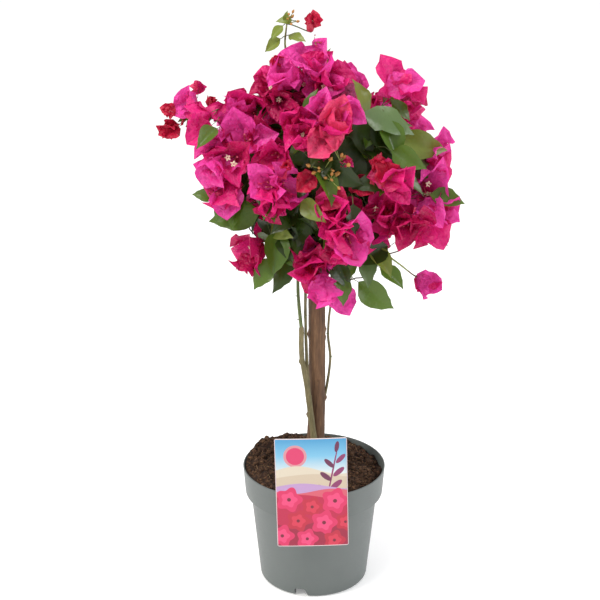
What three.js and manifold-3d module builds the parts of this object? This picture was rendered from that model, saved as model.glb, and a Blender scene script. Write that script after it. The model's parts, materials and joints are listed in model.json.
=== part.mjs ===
// A bougainvillea grown as a small standard tree in a round nursery pot, with a card label hooked on the rim.
// Millimetres, +Z up. The origin is the centre of the pot's underside, and the label faces -Y.
import * as THREE from "three";
import { mergeVertices } from "three/addons/utils/BufferGeometryUtils.js";
import Module from "manifold-3d";

const wasm = await Module();
wasm.setup();

// ---- driving dimensions ----
const CLEARANCE = 0.3; // between pieces that touch on the real plant

const POT = {
  rimRadius: 85,
  height: 145,
  wall: 1.6,
  collarHeight: 34,
  collarRadius: 82.4, // at the collar's lower edge
  stepDrop: 3,
  bodyTopRadius: 75.8,
  bodyFootRadius: 65,
  cornerRadius: 4,
  sides: 40,
};
const FOOT = {
  padRadius: 38, // the flat disc that stands on the ground
  slopeRun: 3,
  channelHeight: 10.5,
  ringInnerRadius: 57,
  floor: 2,
  notchWidth: 18,
  notchHeight: 9.8,
  notches: 3,
  firstNotch: -103, // degrees, counted from +X
  holeRadius: 4,
  holes: 6,
  holeCircle: 48.5,
};
const SOIL = {
  level: 139,
  heap: 8, // extra height towards the heaped side
  heapSide: 135, // degrees, counted from +X
  lumps: 1.6,
  rings: 5,
};
const TRUNK = {
  line: [[-1, 0, 136], [1, 0, 166], [3, 0, 212], [3, 0, 290], [2.2, 0, 424]],
  radius: 10.3,
  taper: 0.5,
  flare: 3.8, // added to the radius at the foot
  flareHeight: 72,
  sides: 12,
};
const CARD = {
  width: 82.5,
  height: 134,
  thickness: 0.8,
  cornerRadius: 3,
  top: 217.5,
  x: -5,
  lean: 3, // degrees, its top towards the plant
  turn: 1.5, // degrees, its top towards -X
};
const HOOK = { width: 14, thickness: 1, bridge: 1.4, reach: 30 };

// Each mass: name, centre, radii, unevenness and how finely it is faceted.
const MASSES = [
  ["bracts_crown_top", [4, -8, 620], [31, 28, 33], 0.1, 2],
  ["bracts_top_left", [-40, -14, 605], [30, 28, 27], 0.1, 2],
  ["bracts_left_shoulder", [-79, -8, 580], [30, 30, 26], 0.1, 2],
  ["bracts_left_upper", [-88, -40, 541], [40, 36, 34], 0.12, 2],
  ["bracts_left_lower", [-100, -28, 489], [27, 32, 35], 0.12, 2],
  ["leaves_low_left", [-49, -28, 423], [25, 26, 42], 0.12, 2],
  ["bracts_low_left", [-77, -24, 417], [20, 18, 28], 0.08, 1],
  ["bracts_centre_left", [-44, -72, 508], [34, 34, 40], 0.12, 2],
  ["bracts_centre_upper", [4, -66, 576], [38, 34, 32], 0.12, 2],
  ["leaves_centre", [10, -68, 528], [36, 34, 30], 0.12, 2],
  ["leaves_upper_right", [71, -40, 570], [37, 34, 26], 0.12, 2],
  ["bracts_upper_right", [89, 0, 606], [28, 24, 31], 0.08, 2],
  ["leaves_right_upper", [125, -8, 534], [32, 32, 25], 0.12, 2],
  ["leaves_right_middle", [78, -66, 524], [38, 34, 30], 0.12, 2],
  ["bracts_right", [122, -24, 488], [36, 36, 40], 0.12, 2],
  ["bracts_right_low", [92, -52, 468], [40, 36, 32], 0.12, 2],
  ["bracts_centre_low", [30, -74, 476], [38, 36, 36], 0.12, 2],
  ["bracts_low_centre", [4, -48, 404], [32, 32, 44], 0.12, 2],
  ["leaves_low_right", [62, -20, 410], [36, 34, 38], 0.12, 2],
  ["leaves_low_tip", [67, -18, 369], [25, 20, 17], 0.08, 1],
  ["bracts_low_tip", [40, -20, 366], [15, 14, 20], 0.06, 1],
  ["bloom_low_right", [129, 0, 375], [18, 16, 16], 0.08, 1],
  ["spray_left", [-140, 0, 578], [33, 22, 34], 0.12, 2],
  ["spray_top", [-34, 0, 662], [19, 16, 25], 0.12, 1],
  ["buds_top", [-1, 0, 664], [11, 11, 24], 0.06, 1],
  ["leaves_far_right", [144, -4, 440], [19, 18, 22], 0.1, 1],
  ["foliage_core", [8, 0, 476], [94, 72, 97], 0.05, 2],
  ["bracts_back_top", [10, 46, 588], [56, 48, 38], 0.1, 2],
  ["bracts_back_left_high", [-62, 50, 546], [50, 50, 44], 0.1, 2],
  ["bracts_back_right_high", [82, 46, 548], [50, 50, 44], 0.1, 2],
  ["bracts_back_centre", [8, 90, 512], [54, 42, 52], 0.1, 2],
  ["bracts_back_left", [-72, 58, 466], [50, 50, 46], 0.1, 2],
  ["bracts_back_right", [84, 58, 468], [50, 50, 44], 0.1, 2],
  ["leaves_back_low", [8, 62, 420], [56, 44, 40], 0.1, 2],
];

// Each limb: name, the points it runs through, and its radii at its foot and tip.
const LIMB_SIDES = 7;
const LIMBS = [
  [
    "stem_left",
    [[4, -19, 139], [1.5, -17, 170], [-3.5, -14, 211], [-10, -13, 262], [-14.8, -12, 290], [-15, -11, 324]],
    [4.1, 2.8],
  ],
  ["stem_left_outer", [[-15.2, -11, 325], [-17.8, -11, 349], [-19.2, -10, 379], [-18.5, -8, 418]], [1.9, 1.6]],
  ["stem_left_inner", [[-13.4, -11, 326], [-11.2, -11.6, 345], [-10.4, -12.6, 372], [-10, -13, 418]], [2.1, 1.7]],
  [
    "stem_right",
    [[13, 0, 230], [15.3, 0, 250], [18.6, 0, 282], [16, 0, 308], [16.6, 0, 330], [18.4, 0, 352], [20, 0, 418]],
    [1.3, 1.1],
  ],
  ["bough_top", [[-28, -6, 612], [-31, -3, 632], [-33, 0, 650]], [1.5, 1.1]],
  ["bough_left", [[-84, -4, 574], [-104, -2, 576], [-122, 0, 574]], [1.6, 1.1]],
  ["bough_low_right", [[84, -12, 410], [100, -6, 397], [118, 0, 382]], [1.6, 1.1]],
];

const COLOURS = {
  pot: 0x77807a,
  soil: 0x3a2a1f,
  card: 0xe58a97,
  bark: 0x6b4a33,
  stem: 0x7a6c45,
  bracts: 0xd0207c,
  leaves: 0x4c7a2c,
};
const ROUGHNESS = { pot: 0.55, soil: 1, card: 0.35, bark: 0.85, stem: 0.75, bracts: 0.7, leaves: 0.55 };

// ---- helpers ----
const degrees = (angle) => (angle * Math.PI) / 180;

// Smooth unevenness between about -1 and 1, the same for the same place and seed.
function unevenness(x, y, z, seed) {
  let sum = 0;
  for (let wave = 1; wave <= 4; wave++) {
    const turn = seed * 1.7 + wave * 2.4;
    const along = x * Math.cos(turn) + y * Math.sin(turn) + z * Math.cos(turn * 1.3 + wave);
    sum += Math.sin(along * (0.8 + wave * 0.75) + seed * 3.1 + wave) / wave;
  }
  return sum / 2;
}

function merged(geometry) {
  const bare = geometry.clone();
  bare.deleteAttribute("normal");
  bare.deleteAttribute("uv");
  return mergeVertices(bare, 1e-3);
}

function solidOf(geometry) {
  const closed = merged(geometry);
  return new wasm.Manifold(
    new wasm.Mesh({
      numProp: 3,
      vertProperties: new Float32Array(closed.attributes.position.array),
      triVerts: new Uint32Array(closed.index.array),
    }),
  );
}

function geometryOf(solid) {
  const mesh = solid.getMesh();
  const places = new Float32Array(mesh.numVert * 3);
  for (let i = 0; i < mesh.numVert; i++) {
    places.set(mesh.vertProperties.subarray(i * mesh.numProp, i * mesh.numProp + 3), i * 3);
  }
  const geometry = new THREE.BufferGeometry();
  geometry.setAttribute("position", new THREE.BufferAttribute(places, 3));
  geometry.setIndex(new THREE.BufferAttribute(new Uint32Array(mesh.triVerts), 1));
  return geometry;
}

function cutting(geometry, cutters) {
  let solid = solidOf(geometry);
  for (const cutter of cutters) {
    solid = solid.subtract(cutter);
  }
  const bodies = solid.decompose().sort((a, b) => b.volume() - a.volume());
  return geometryOf(bodies[0]);
}

const whole = new THREE.Group();

function addPiece(name, geometry, kind) {
  geometry.computeVertexNormals();
  const material = new THREE.MeshStandardMaterial({
    color: COLOURS[kind],
    roughness: ROUGHNESS[kind],
    metalness: 0,
  });
  const mesh = new THREE.Mesh(geometry, material);
  mesh.name = name;
  whole.add(mesh);
}

// A lathe about Z from a profile of [radius, height] pairs.
function turned(profile, sides) {
  const lathe = new THREE.LatheGeometry(profile.map(([r, z]) => new THREE.Vector2(r, z)), sides);
  return lathe.rotateX(Math.PI / 2);
}

// A closed limb along a smooth curve. Its radius at each point is given by radiusAt(share of length, height).
function limb(points, radiusAt, sides, grow = 0) {
  const curve = new THREE.CatmullRomCurve3(points.map((p) => new THREE.Vector3(...p)));
  const steps = (points.length - 1) * 3;
  const frames = curve.computeFrenetFrames(steps);
  const rod = new THREE.CylinderGeometry(1, 1, 1, sides, steps);
  const places = rod.attributes.position;
  for (let i = 0; i < places.count; i++) {
    const share = places.getY(i) + 0.5;
    const step = Math.round(share * steps);
    const centre = curve.getPointAt(share).addScaledVector(frames.tangents[step], (share * 2 - 1) * grow);
    const radius = radiusAt(share, centre.z) + grow;
    centre.addScaledVector(frames.normals[step], places.getZ(i) * radius);
    centre.addScaledVector(frames.binormals[step], places.getX(i) * radius);
    places.setXYZ(i, centre.x, centre.y, centre.z);
  }
  return rod;
}

// ---- the pot: a thin shell with a collar, a raised drain channel, foot notches and drain holes ----
function potShell() {
  const { rimRadius, height, wall, collarHeight, collarRadius, stepDrop, bodyTopRadius } = POT;
  const { bodyFootRadius, cornerRadius } = POT;
  const collarZ = height - collarHeight;
  const channelTop = FOOT.channelHeight + FOOT.floor;
  const profile = [
    [0, 0],
    [FOOT.padRadius, 0],
    [FOOT.padRadius + FOOT.slopeRun, FOOT.channelHeight],
    [FOOT.ringInnerRadius - 1, FOOT.channelHeight],
    [FOOT.ringInnerRadius, 0],
  ];
  for (let turn = -90; turn <= 0; turn += 45) {
    profile.push([
      bodyFootRadius - cornerRadius + cornerRadius * Math.cos(degrees(turn)),
      cornerRadius + cornerRadius * Math.sin(degrees(turn)),
    ]);
  }
  profile.push(
    [bodyTopRadius, collarZ - stepDrop],
    [collarRadius - 1, collarZ],
    [collarRadius, collarZ + 2],
    [rimRadius, height - 1],
    [rimRadius - 0.4, height],
    [rimRadius - wall + 0.3, height],
    [rimRadius - wall, height - 1],
    [collarRadius - wall, collarZ + 2],
    [bodyTopRadius - wall, collarZ - stepDrop + 1],
    [bodyFootRadius - wall + 0.4, channelTop],
    [FOOT.padRadius + FOOT.slopeRun - 1, channelTop],
    [FOOT.padRadius - 1, FOOT.floor],
    [0, FOOT.floor],
  );
  return turned(profile, POT.sides);
}

function footNotch(index) {
  const long = 20;
  const tall = FOOT.notchHeight + 2;
  const outline = new THREE.Shape([
    new THREE.Vector2(-FOOT.notchWidth / 2, -2),
    new THREE.Vector2(FOOT.notchWidth / 2, -2),
    new THREE.Vector2(FOOT.notchWidth / 2 - 5, tall - 2),
    new THREE.Vector2(-FOOT.notchWidth / 2, tall - 2),
  ]);
  const block = new THREE.ExtrudeGeometry(outline, { depth: long, bevelEnabled: false });
  block.rotateX(Math.PI / 2).rotateZ(Math.PI / 2);
  block.translate(FOOT.ringInnerRadius - 4, 0, 0);
  block.rotateZ(degrees(FOOT.firstNotch + (360 / FOOT.notches) * index));
  return block;
}

function drainHole(index) {
  const drill = new THREE.CylinderGeometry(FOOT.holeRadius, FOOT.holeRadius, 8, 12);
  drill.rotateX(Math.PI / 2);
  drill.translate(FOOT.holeCircle, 0, FOOT.channelHeight + FOOT.floor / 2);
  return drill.rotateZ(degrees((360 / FOOT.holes) * index));
}

// ---- the soil: fills the pot, with an uneven top that is heaped on one side ----
function soilTop(x, y) {
  const out = Math.hypot(x, y) / POT.rimRadius;
  const side = Math.cos(Math.atan2(y, x) - degrees(SOIL.heapSide)) * out;
  return SOIL.level + SOIL.heap * side + SOIL.lumps * unevenness(x / 9, y / 9, 0, 4);
}

function potInnerRadius(z) {
  const collarZ = POT.height - POT.collarHeight + 2;
  const stepZ = collarZ - POT.stepDrop - 1;
  const between = THREE.MathUtils.mapLinear;
  const { wall, rimRadius, collarRadius, bodyTopRadius, bodyFootRadius } = POT;
  if (z > collarZ) {
    return between(z, collarZ, POT.height, collarRadius, rimRadius) - wall;
  }
  if (z > stepZ) {
    return between(z, stepZ, collarZ, bodyTopRadius, collarRadius) - wall;
  }
  return between(z, FOOT.channelHeight, stepZ, bodyFootRadius, bodyTopRadius) - wall;
}

function soilPlug() {
  const bottom = FOOT.channelHeight + FOOT.floor + CLEARANCE;
  const stepZ = POT.height - POT.collarHeight - POT.stepDrop + 1;
  const collarZ = POT.height - POT.collarHeight + 2;
  const inside = CLEARANCE + 0.1;
  const profile = [
    [0, FOOT.floor + CLEARANCE],
    [FOOT.padRadius - 2, FOOT.floor + CLEARANCE],
    [FOOT.padRadius + 1, bottom],
    [potInnerRadius(bottom) - inside - 0.5, bottom],
    [potInnerRadius(stepZ) - inside, stepZ + inside],
    [potInnerRadius(collarZ) - inside, collarZ + inside],
  ];
  const edge = potInnerRadius(SOIL.level - 4) - inside;
  for (let ring = SOIL.rings; ring >= 0; ring--) {
    profile.push([(edge * ring) / SOIL.rings, SOIL.level]);
  }
  const plug = turned(profile, POT.sides);
  const places = plug.attributes.position;
  for (let i = 0; i < places.count; i++) {
    if (places.getZ(i) > SOIL.level - 1) {
      places.setZ(i, soilTop(places.getX(i), places.getY(i)));
    }
  }
  return plug;
}

// ---- the trunk: straight, barely tapering, with a flare at its foot ----
function trunkRadius(share, z) {
  const up = Math.max(0, 1 - (z - TRUNK.line[0][2]) / TRUNK.flareHeight);
  return TRUNK.radius - TRUNK.taper * share + TRUNK.flare * up ** 1.5;
}

function trunk(grow = 0) {
  return limb(TRUNK.line, trunkRadius, TRUNK.sides, grow);
}

function sideLimb([, points, [foot, tip]], grow = 0) {
  return limb(points, (share) => THREE.MathUtils.lerp(foot, tip, share), LIMB_SIDES, grow);
}

// ---- the label: a thin card with a hooked tongue that goes over the rim and down inside the pot ----
function cardPlate() {
  const { width, height, cornerRadius: r } = CARD;
  const [left, right] = [-width / 2, width / 2];
  const outline = new THREE.Shape();
  outline.moveTo(left + r, -height);
  outline.lineTo(right - r, -height);
  outline.absarc(right - r, -height + r, r, -Math.PI / 2, 0);
  outline.lineTo(right, -r);
  outline.absarc(right - r, -r, r, 0, Math.PI / 2);
  outline.lineTo(left + r, 0);
  outline.absarc(left + r, -r, r, Math.PI / 2, Math.PI);
  outline.lineTo(left, -height + r);
  outline.absarc(left + r, -height + r, r, Math.PI, 1.5 * Math.PI);
  const plate = new THREE.ExtrudeGeometry(outline, {
    depth: CARD.thickness,
    bevelEnabled: false,
    curveSegments: 4,
  });
  plate.rotateX(Math.PI / 2); // the outline stands up and faces -Y
  plate.rotateY(degrees(-CARD.turn));
  plate.rotateX(degrees(-CARD.lean));
  const atRim = CARD.top - POT.height;
  const back = POT.rimRadius + CLEARANCE;
  plate.translate(CARD.x, -back - Math.tan(degrees(CARD.lean)) * -atRim, CARD.top);
  return plate;
}

function hook(grow = 0) {
  const over = POT.height + CLEARANCE + 0.3;
  const front = -POT.rimRadius - CLEARANCE - 0.5;
  const inner = -POT.rimRadius + POT.wall + CLEARANCE + 1; // clear of the wall, which curves past the tongue
  const slant = 3.2; // the tongue leans inwards as it goes down
  const { thickness, bridge, reach } = HOOK;
  const side = new THREE.Shape([
    new THREE.Vector2(front - grow, over - grow),
    new THREE.Vector2(inner - grow, over - grow),
    new THREE.Vector2(inner + slant - grow, over - reach - grow),
    new THREE.Vector2(inner + slant + thickness + grow, over - reach - grow),
    new THREE.Vector2(inner + thickness + grow, over + bridge + grow),
    new THREE.Vector2(front - grow, over + bridge + grow),
  ]);
  const wide = HOOK.width + 2 * grow;
  const strip = new THREE.ExtrudeGeometry(side, { depth: wide, bevelEnabled: false });
  strip.applyMatrix4(
    new THREE.Matrix4().makeBasis(
      new THREE.Vector3(0, 1, 0),
      new THREE.Vector3(0, 0, 1),
      new THREE.Vector3(1, 0, 0),
    ),
  );
  return strip.translate(CARD.x - wide / 2, 0, 0);
}

// ---- the masses of foliage: uneven balls, cut flat where they press on their neighbours ----
function reachAlong(radii, direction) {
  return Math.hypot(radii[0] * direction.x, radii[1] * direction.y, radii[2] * direction.z);
}

function massWalls(mass) {
  const centre = new THREE.Vector3(...mass[1]);
  return MASSES.filter((other) => other !== mass).map((other) => {
    const direction = new THREE.Vector3(...other[1]).sub(centre);
    const apart = direction.length();
    direction.divideScalar(apart);
    const own = reachAlong(mass[2], direction);
    const theirs = reachAlong(other[2], direction);
    return { direction, distance: (apart * own) / (own + theirs) - CLEARANCE / 2 };
  });
}

function massGeometry(mass, seed) {
  const [, centre, radii, lumpiness, detail] = mass;
  const walls = massWalls(mass);
  const ball = merged(new THREE.IcosahedronGeometry(1, detail));
  const places = ball.attributes.position;
  const point = new THREE.Vector3();
  for (let i = 0; i < places.count; i++) {
    point.fromBufferAttribute(places, i);
    const swell = 1 + lumpiness * unevenness(point.x * 1.6, point.y * 1.6, point.z * 1.6, seed);
    point.set(point.x * radii[0], point.y * radii[1], point.z * radii[2]).multiplyScalar(swell);
    let share = 1;
    for (const wall of walls) {
      const towards = point.dot(wall.direction);
      if (towards > 0) {
        share = Math.min(share, wall.distance / towards);
      }
    }
    places.setXYZ(i, centre[0] + point.x * share, centre[1] + point.y * share, centre[2] + point.z * share);
  }
  return ball;
}

// ---- build ----
const drills = [];
for (let index = 0; index < FOOT.notches; index++) {
  drills.push(solidOf(footNotch(index)));
}
for (let index = 0; index < FOOT.holes; index++) {
  drills.push(solidOf(drainHole(index)));
}
addPiece("pot", cutting(potShell(), drills), "pot");

const trunkSpace = solidOf(trunk(CLEARANCE));
const limbSpaces = LIMBS.map((each) => solidOf(sideLimb(each, CLEARANCE)));
addPiece("soil", cutting(soilPlug(), [trunkSpace, limbSpaces[0], solidOf(hook(CLEARANCE))]), "soil");
addPiece("label", geometryOf(solidOf(cardPlate()).add(solidOf(hook()))), "card");
addPiece("trunk", merged(trunk()), "bark");

LIMBS.forEach((each, index) => {
  const earlier = index === 0 ? [trunkSpace] : [trunkSpace, ...limbSpaces.slice(0, index)];
  addPiece(each[0], cutting(sideLimb(each), earlier), "stem");
});
MASSES.forEach((mass, index) => {
  const kind = mass[0].startsWith("leaves") ? "leaves" : "bracts";
  addPiece(mass[0], cutting(massGeometry(mass, index), [trunkSpace, ...limbSpaces]), kind);
});

export default whole;
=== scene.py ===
"""A bougainvillea standard in a nursery pot, dressed over its fixed frame."""

import json
import math
import random

import bmesh
import bpy
from bpy.props import FloatProperty, FloatVectorProperty, IntProperty, PointerProperty
from mathutils import Matrix, Vector, noise

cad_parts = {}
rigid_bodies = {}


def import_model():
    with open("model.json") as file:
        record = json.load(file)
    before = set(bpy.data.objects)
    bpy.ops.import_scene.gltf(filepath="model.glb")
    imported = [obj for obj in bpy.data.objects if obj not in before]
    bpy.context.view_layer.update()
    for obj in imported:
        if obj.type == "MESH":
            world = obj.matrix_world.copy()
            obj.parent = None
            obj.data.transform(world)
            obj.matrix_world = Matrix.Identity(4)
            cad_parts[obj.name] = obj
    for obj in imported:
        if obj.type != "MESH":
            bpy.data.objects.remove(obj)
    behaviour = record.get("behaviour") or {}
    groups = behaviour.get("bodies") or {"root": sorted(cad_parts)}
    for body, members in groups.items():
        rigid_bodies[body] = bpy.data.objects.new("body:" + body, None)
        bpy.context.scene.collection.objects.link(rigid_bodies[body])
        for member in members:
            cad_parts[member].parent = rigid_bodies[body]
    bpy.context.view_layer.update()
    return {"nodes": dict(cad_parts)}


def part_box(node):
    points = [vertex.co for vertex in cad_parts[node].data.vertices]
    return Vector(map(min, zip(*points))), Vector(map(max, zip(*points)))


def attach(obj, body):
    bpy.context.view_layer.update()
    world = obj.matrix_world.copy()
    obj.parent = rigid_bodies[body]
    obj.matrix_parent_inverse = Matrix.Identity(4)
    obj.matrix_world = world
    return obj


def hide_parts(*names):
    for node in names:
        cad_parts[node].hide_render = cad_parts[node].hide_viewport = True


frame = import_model()

bl_info = {
    "name": "Potted bougainvillea",
    "version": (1, 0, 0),
    "blender": (4, 5, 0),
    "location": "View3D > Sidebar > Plant",
    "description": "Grows a bougainvillea standard in its pot over the construction frame",
    "category": "Object",
}

MM = 0.001
BODY = "root"
UP = Vector((0, 0, 1))


# ---------------------------------------------------------------------------------------------
# Colours, nodes and small helpers
# ---------------------------------------------------------------------------------------------


def colour(value):
    """Linear RGBA from an sRGB hex number."""
    channels = []
    for shift in (16, 8, 0):
        share = ((value >> shift) & 255) / 255
        linear = share / 12.92 if share <= 0.04045 else ((share + 0.055) / 1.055) ** 2.4
        channels.append(linear)
    return (*channels, 1.0)


def add(tree, kind, inputs=None, stops=(), **settings):
    """Adds a node with its settings. inputs gives each socket its constant, or the socket that feeds it.

    A node given in place of a socket feeds by its first output. stops are a colour ramp's (place, sRGB hex).
    """
    node = tree.nodes.new(kind)
    for name, value in settings.items():
        setattr(node, name, value)
    for socket, given in (inputs or {}).items():
        if isinstance(given, bpy.types.Node):
            given = given.outputs[0]
        if isinstance(given, bpy.types.NodeSocket):
            tree.links.new(given, node.inputs[socket])
        else:
            node.inputs[socket].default_value = given
    if stops:
        elements = node.color_ramp.elements
        while len(elements) < len(stops):
            elements.new(0.5)
        for element, (place, value) in zip(elements, stops):
            element.position = place
            element.color = colour(value)
    return node


def mesh_object(name, vertices, faces=(), edges=(), smooth=True, uvs=None):
    """A mesh object at the origin, with its place in its mesh. uvs holds one pair for each vertex."""
    mesh = bpy.data.meshes.new(name)
    mesh.from_pydata([tuple(v) for v in vertices], edges, faces)
    if uvs:
        layer = mesh.uv_layers.new(name="UVMap")
        for loop in mesh.loops:
            layer.data[loop.index].uv = uvs[loop.vertex_index]
    if smooth:
        mesh.shade_smooth()
    piece = bpy.data.objects.new(name, mesh)
    bpy.context.scene.collection.objects.link(piece)
    return piece


def faced_outwards(piece):
    """The closed piece, with its faces turned outwards."""
    shape = bmesh.new()
    shape.from_mesh(piece.data)
    bmesh.ops.recalc_face_normals(shape, faces=shape.faces)
    shape.to_mesh(piece.data)
    shape.free()
    return piece


def finished(piece, slot, *nodes, material=None):
    """Gives a piece its material and body, and hides the frame's nodes that it stands for. slot is not used.
    """
    if material:
        piece.data.materials.clear()
        piece.data.materials.append(material)
    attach(piece, BODY)
    if nodes:
        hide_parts(*nodes)


def baked(piece):
    """The piece with its modifiers turned into plain mesh."""
    depsgraph = bpy.context.evaluated_depsgraph_get()
    mesh = bpy.data.meshes.new_from_object(piece.evaluated_get(depsgraph), depsgraph=depsgraph)
    piece.modifiers.clear()
    old = piece.data
    piece.data = mesh
    bpy.data.meshes.remove(old)
    mesh.name = piece.name
    return piece


def smooth_step(share):
    share = max(0.0, min(1.0, share))
    return share * share * (3 - 2 * share)


def through(stops, share):
    """The value at a share of the way along (place, value) stops, eased between them."""
    for (start, low), (end, high) in zip(stops, stops[1:]):
        if share <= end:
            return low + (high - low) * smooth_step((share - start) / (end - start))
    return stops[-1][1]


def heading(turn, rise):
    """A unit direction: turn counts degrees from the front towards +X, rise from level to upright."""
    turn, rise = math.radians(turn), math.radians(rise)
    return Vector((math.sin(turn) * math.cos(rise), -math.cos(turn) * math.cos(rise), math.sin(rise)))


def axes(along, face):
    """The rotation that takes +Y to along, and +Z as near to face as it can be."""
    along = along.normalized()
    across = along.cross(face)
    if across.length < 1e-4:
        across = along.cross(Vector((0.3, 0.5, 0.8)))
    across.normalize()
    return Matrix((across, along, across.cross(along))).transposed().to_quaternion()


def circle(sides, radius=1.0):
    """The places round a circle, as (x, y) pairs."""
    turns = [math.tau * side / sides for side in range(sides)]
    return [(radius * math.cos(turn), radius * math.sin(turn)) for turn in turns]


def poled(rings, start, end):
    """Vertices and faces of a skin through rings of equal length, closed by a point at each end."""
    vertices, faces = loft(rings, cap=False)
    count, total = len(rings[0]), len(vertices)
    last = total - count
    for side in range(count):
        after = (side + 1) % count
        faces.append((total, after, side))
        faces.append((total + 1, last + side, last + after))
    return vertices + [start, end], faces


def loft(rings, cap=True):
    """Vertices and faces of a closed skin through rings of equal length."""
    count = len(rings[0])
    vertices = [point for ring in rings for point in ring]
    faces = []
    for ring in range(len(rings) - 1):
        for index in range(count):
            after = (index + 1) % count
            low, high = ring * count, (ring + 1) * count
            faces.append((low + index, low + after, high + after, high + index))
    if cap:
        faces.append(tuple(reversed(range(count))))
        faces.append(tuple(range((len(rings) - 1) * count, len(rings) * count)))
    return vertices, faces


def sheet_faces(columns, rows):
    """Faces of an open sheet whose vertices run row by row."""
    faces = []
    for row in range(rows):
        for column in range(columns):
            low = row * (columns + 1) + column
            faces.append((low, low + 1, low + columns + 2, low + columns + 1))
    return faces


def spline(points, share):
    """A point on the smooth curve through the given points."""
    place = max(0.0, min(1.0, share)) * (len(points) - 1)
    index = min(int(place), len(points) - 2)
    t = place - index
    before = points[max(index - 1, 0)]
    start, end = points[index], points[index + 1]
    after = points[min(index + 2, len(points) - 1)]
    return 0.5 * (
        2 * start
        + (end - before) * t
        + (2 * before - 5 * start + 4 * end - after) * t * t
        + (3 * start - before - 3 * end + after) * t * t * t
    )


# ---------------------------------------------------------------------------------------------
# Settings
# ---------------------------------------------------------------------------------------------


def size_property(name, description, default):
    return FloatProperty(
        name=name, description=description, default=default, subtype="DISTANCE", unit="LENGTH"
    )


def tint_property(name, description, value):
    return FloatVectorProperty(
        name=name, description=description, default=colour(value)[:3], size=3, subtype="COLOR", min=0, max=1
    )


class PotSettings(bpy.types.PropertyGroup):
    """Sizes and colour of the nursery pot."""

    wall: size_property("Wall", "Thickness of the pot's wall", 1.6 * MM)
    collar: size_property("Collar", "Height of the collar below the rim", 34 * MM)
    foot_height: size_property("Foot", "Height of the raised drain channel", 10.5 * MM)
    notch_width: size_property("Notch", "Width of each notch in the foot", 18 * MM)
    tint: tint_property("Colour", "Colour of the plastic", 0x5A605E)


class CompostSettings(bpy.types.PropertyGroup):
    """Surface of the compost."""

    relief: size_property("Relief", "Height of the lumps", 3.8 * MM)
    crumbs: IntProperty(name="Crumbs", description="Loose crumbs on the surface", default=2600, min=0)
    fibres: IntProperty(name="Fibres", description="Loose fibres on the surface", default=520, min=0)
    seed: IntProperty(name="Seed", description="Seed of the crumbs and fibres", default=7)


class LabelSettings(bpy.types.PropertyGroup):
    """The card label."""

    thickness: size_property("Thickness", "Thickness of the card", 0.8 * MM)
    bow: size_property("Bow", "How far the card bows forward between its sides", 1.2 * MM)


class BloomSettings(bpy.types.PropertyGroup):
    """Bracts and the small flowers in them."""

    length: size_property("Bract length", "Length of a bract", 40 * MM)
    width: size_property("Bract width", "Width of a bract", 35 * MM)
    spacing: size_property("Spacing", "Distance between sprays over the crown", 28.5 * MM)
    seed: IntProperty(name="Seed", description="Seed of the branching", default=11)


class LeafSettings(bpy.types.PropertyGroup):
    """Leaves."""

    length: size_property("Leaf length", "Length of a leaf blade", 44 * MM)
    width: size_property("Leaf width", "Width of a leaf blade", 25 * MM)


class StageSettings(bpy.types.PropertyGroup):
    """The camera's place, pitch and lens."""

    distance: size_property("Distance", "Camera's distance in front of the pot's axis", 1.6)
    height: size_property("Height", "Camera's height over the floor", 0.946)
    aside: size_property("Aside", "Camera's distance to the right of the pot's axis", -16.8 * MM)
    pitch: FloatProperty(
        name="Pitch",
        description="Angle below level",
        default=math.radians(20.3),
        subtype="ANGLE",
        unit="ROTATION",
    )
    lens: FloatProperty(
        name="Lens", description="Focal length in mm for a 36 mm sensor", default=88.8, unit="CAMERA"
    )


# ---------------------------------------------------------------------------------------------
# Materials
# ---------------------------------------------------------------------------------------------


def new_material(name):
    """An empty material and its tree."""
    material = bpy.data.materials.new(name)
    material.use_nodes = True
    material.node_tree.nodes.clear()
    return material, material.node_tree


def ended(material, shader):
    """The material, with the shader joined to its output."""
    add(material.node_tree, "ShaderNodeOutputMaterial", {"Surface": shader})
    return material


def opaque(material, base, height, roughness, ior, strength, relief_mm):
    """The material, ended in a surface that lets no light through and that height bumps."""
    tree = material.node_tree
    relief = {"Strength": strength, "Distance": relief_mm * MM, "Height": height}
    bump = add(tree, "ShaderNodeBump", relief)
    look = {"Base Color": base, "Roughness": roughness, "IOR": ior, "Normal": bump}
    return ended(material, add(tree, "ShaderNodeBsdfPrincipled", look))


def scaled_noise(tree, grain_mm, stretch=(1, 1, 1), detail=4.0, roughness=0.55):
    """Noise on Object coordinates. Its grain is a real size in mm, longer where stretch is over 1."""
    place = add(tree, "ShaderNodeTexCoord").outputs["Object"]
    mapping = add(tree, "ShaderNodeMapping", {"Vector": place, "Scale": [1 / s for s in stretch]})
    grain = {"Scale": 1 / (grain_mm * MM), "Detail": detail, "Roughness": roughness}
    return add(tree, "ShaderNodeTexNoise", {"Vector": mapping, **grain})


def moulded_polypropylene(tint):
    """Injection-moulded polypropylene: satin, faintly clouded, with a very fine grain and scuffs."""
    material, tree = new_material("moulded_polypropylene")
    cloud = scaled_noise(tree, 26, detail=3.0)
    darker, lighter = ((*[min(1, channel * share) for channel in tint], 1) for share in (0.93, 1.06))
    shade = add(tree, "ShaderNodeMix", {0: cloud, 6: darker, 7: lighter}, data_type="RGBA")
    scuff = scaled_noise(tree, 5, stretch=(1, 1, 0.2), detail=6.0)
    gloss = add(tree, "ShaderNodeMapRange", {"Value": scuff, "To Min": 0.36, "To Max": 0.55})
    grain = scaled_noise(tree, 0.8, detail=2.0)
    look = {"roughness": gloss, "ior": 1.49, "strength": 0.12, "relief_mm": 0.15}
    return opaque(material, shade.outputs[2], grain, **look)


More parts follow.
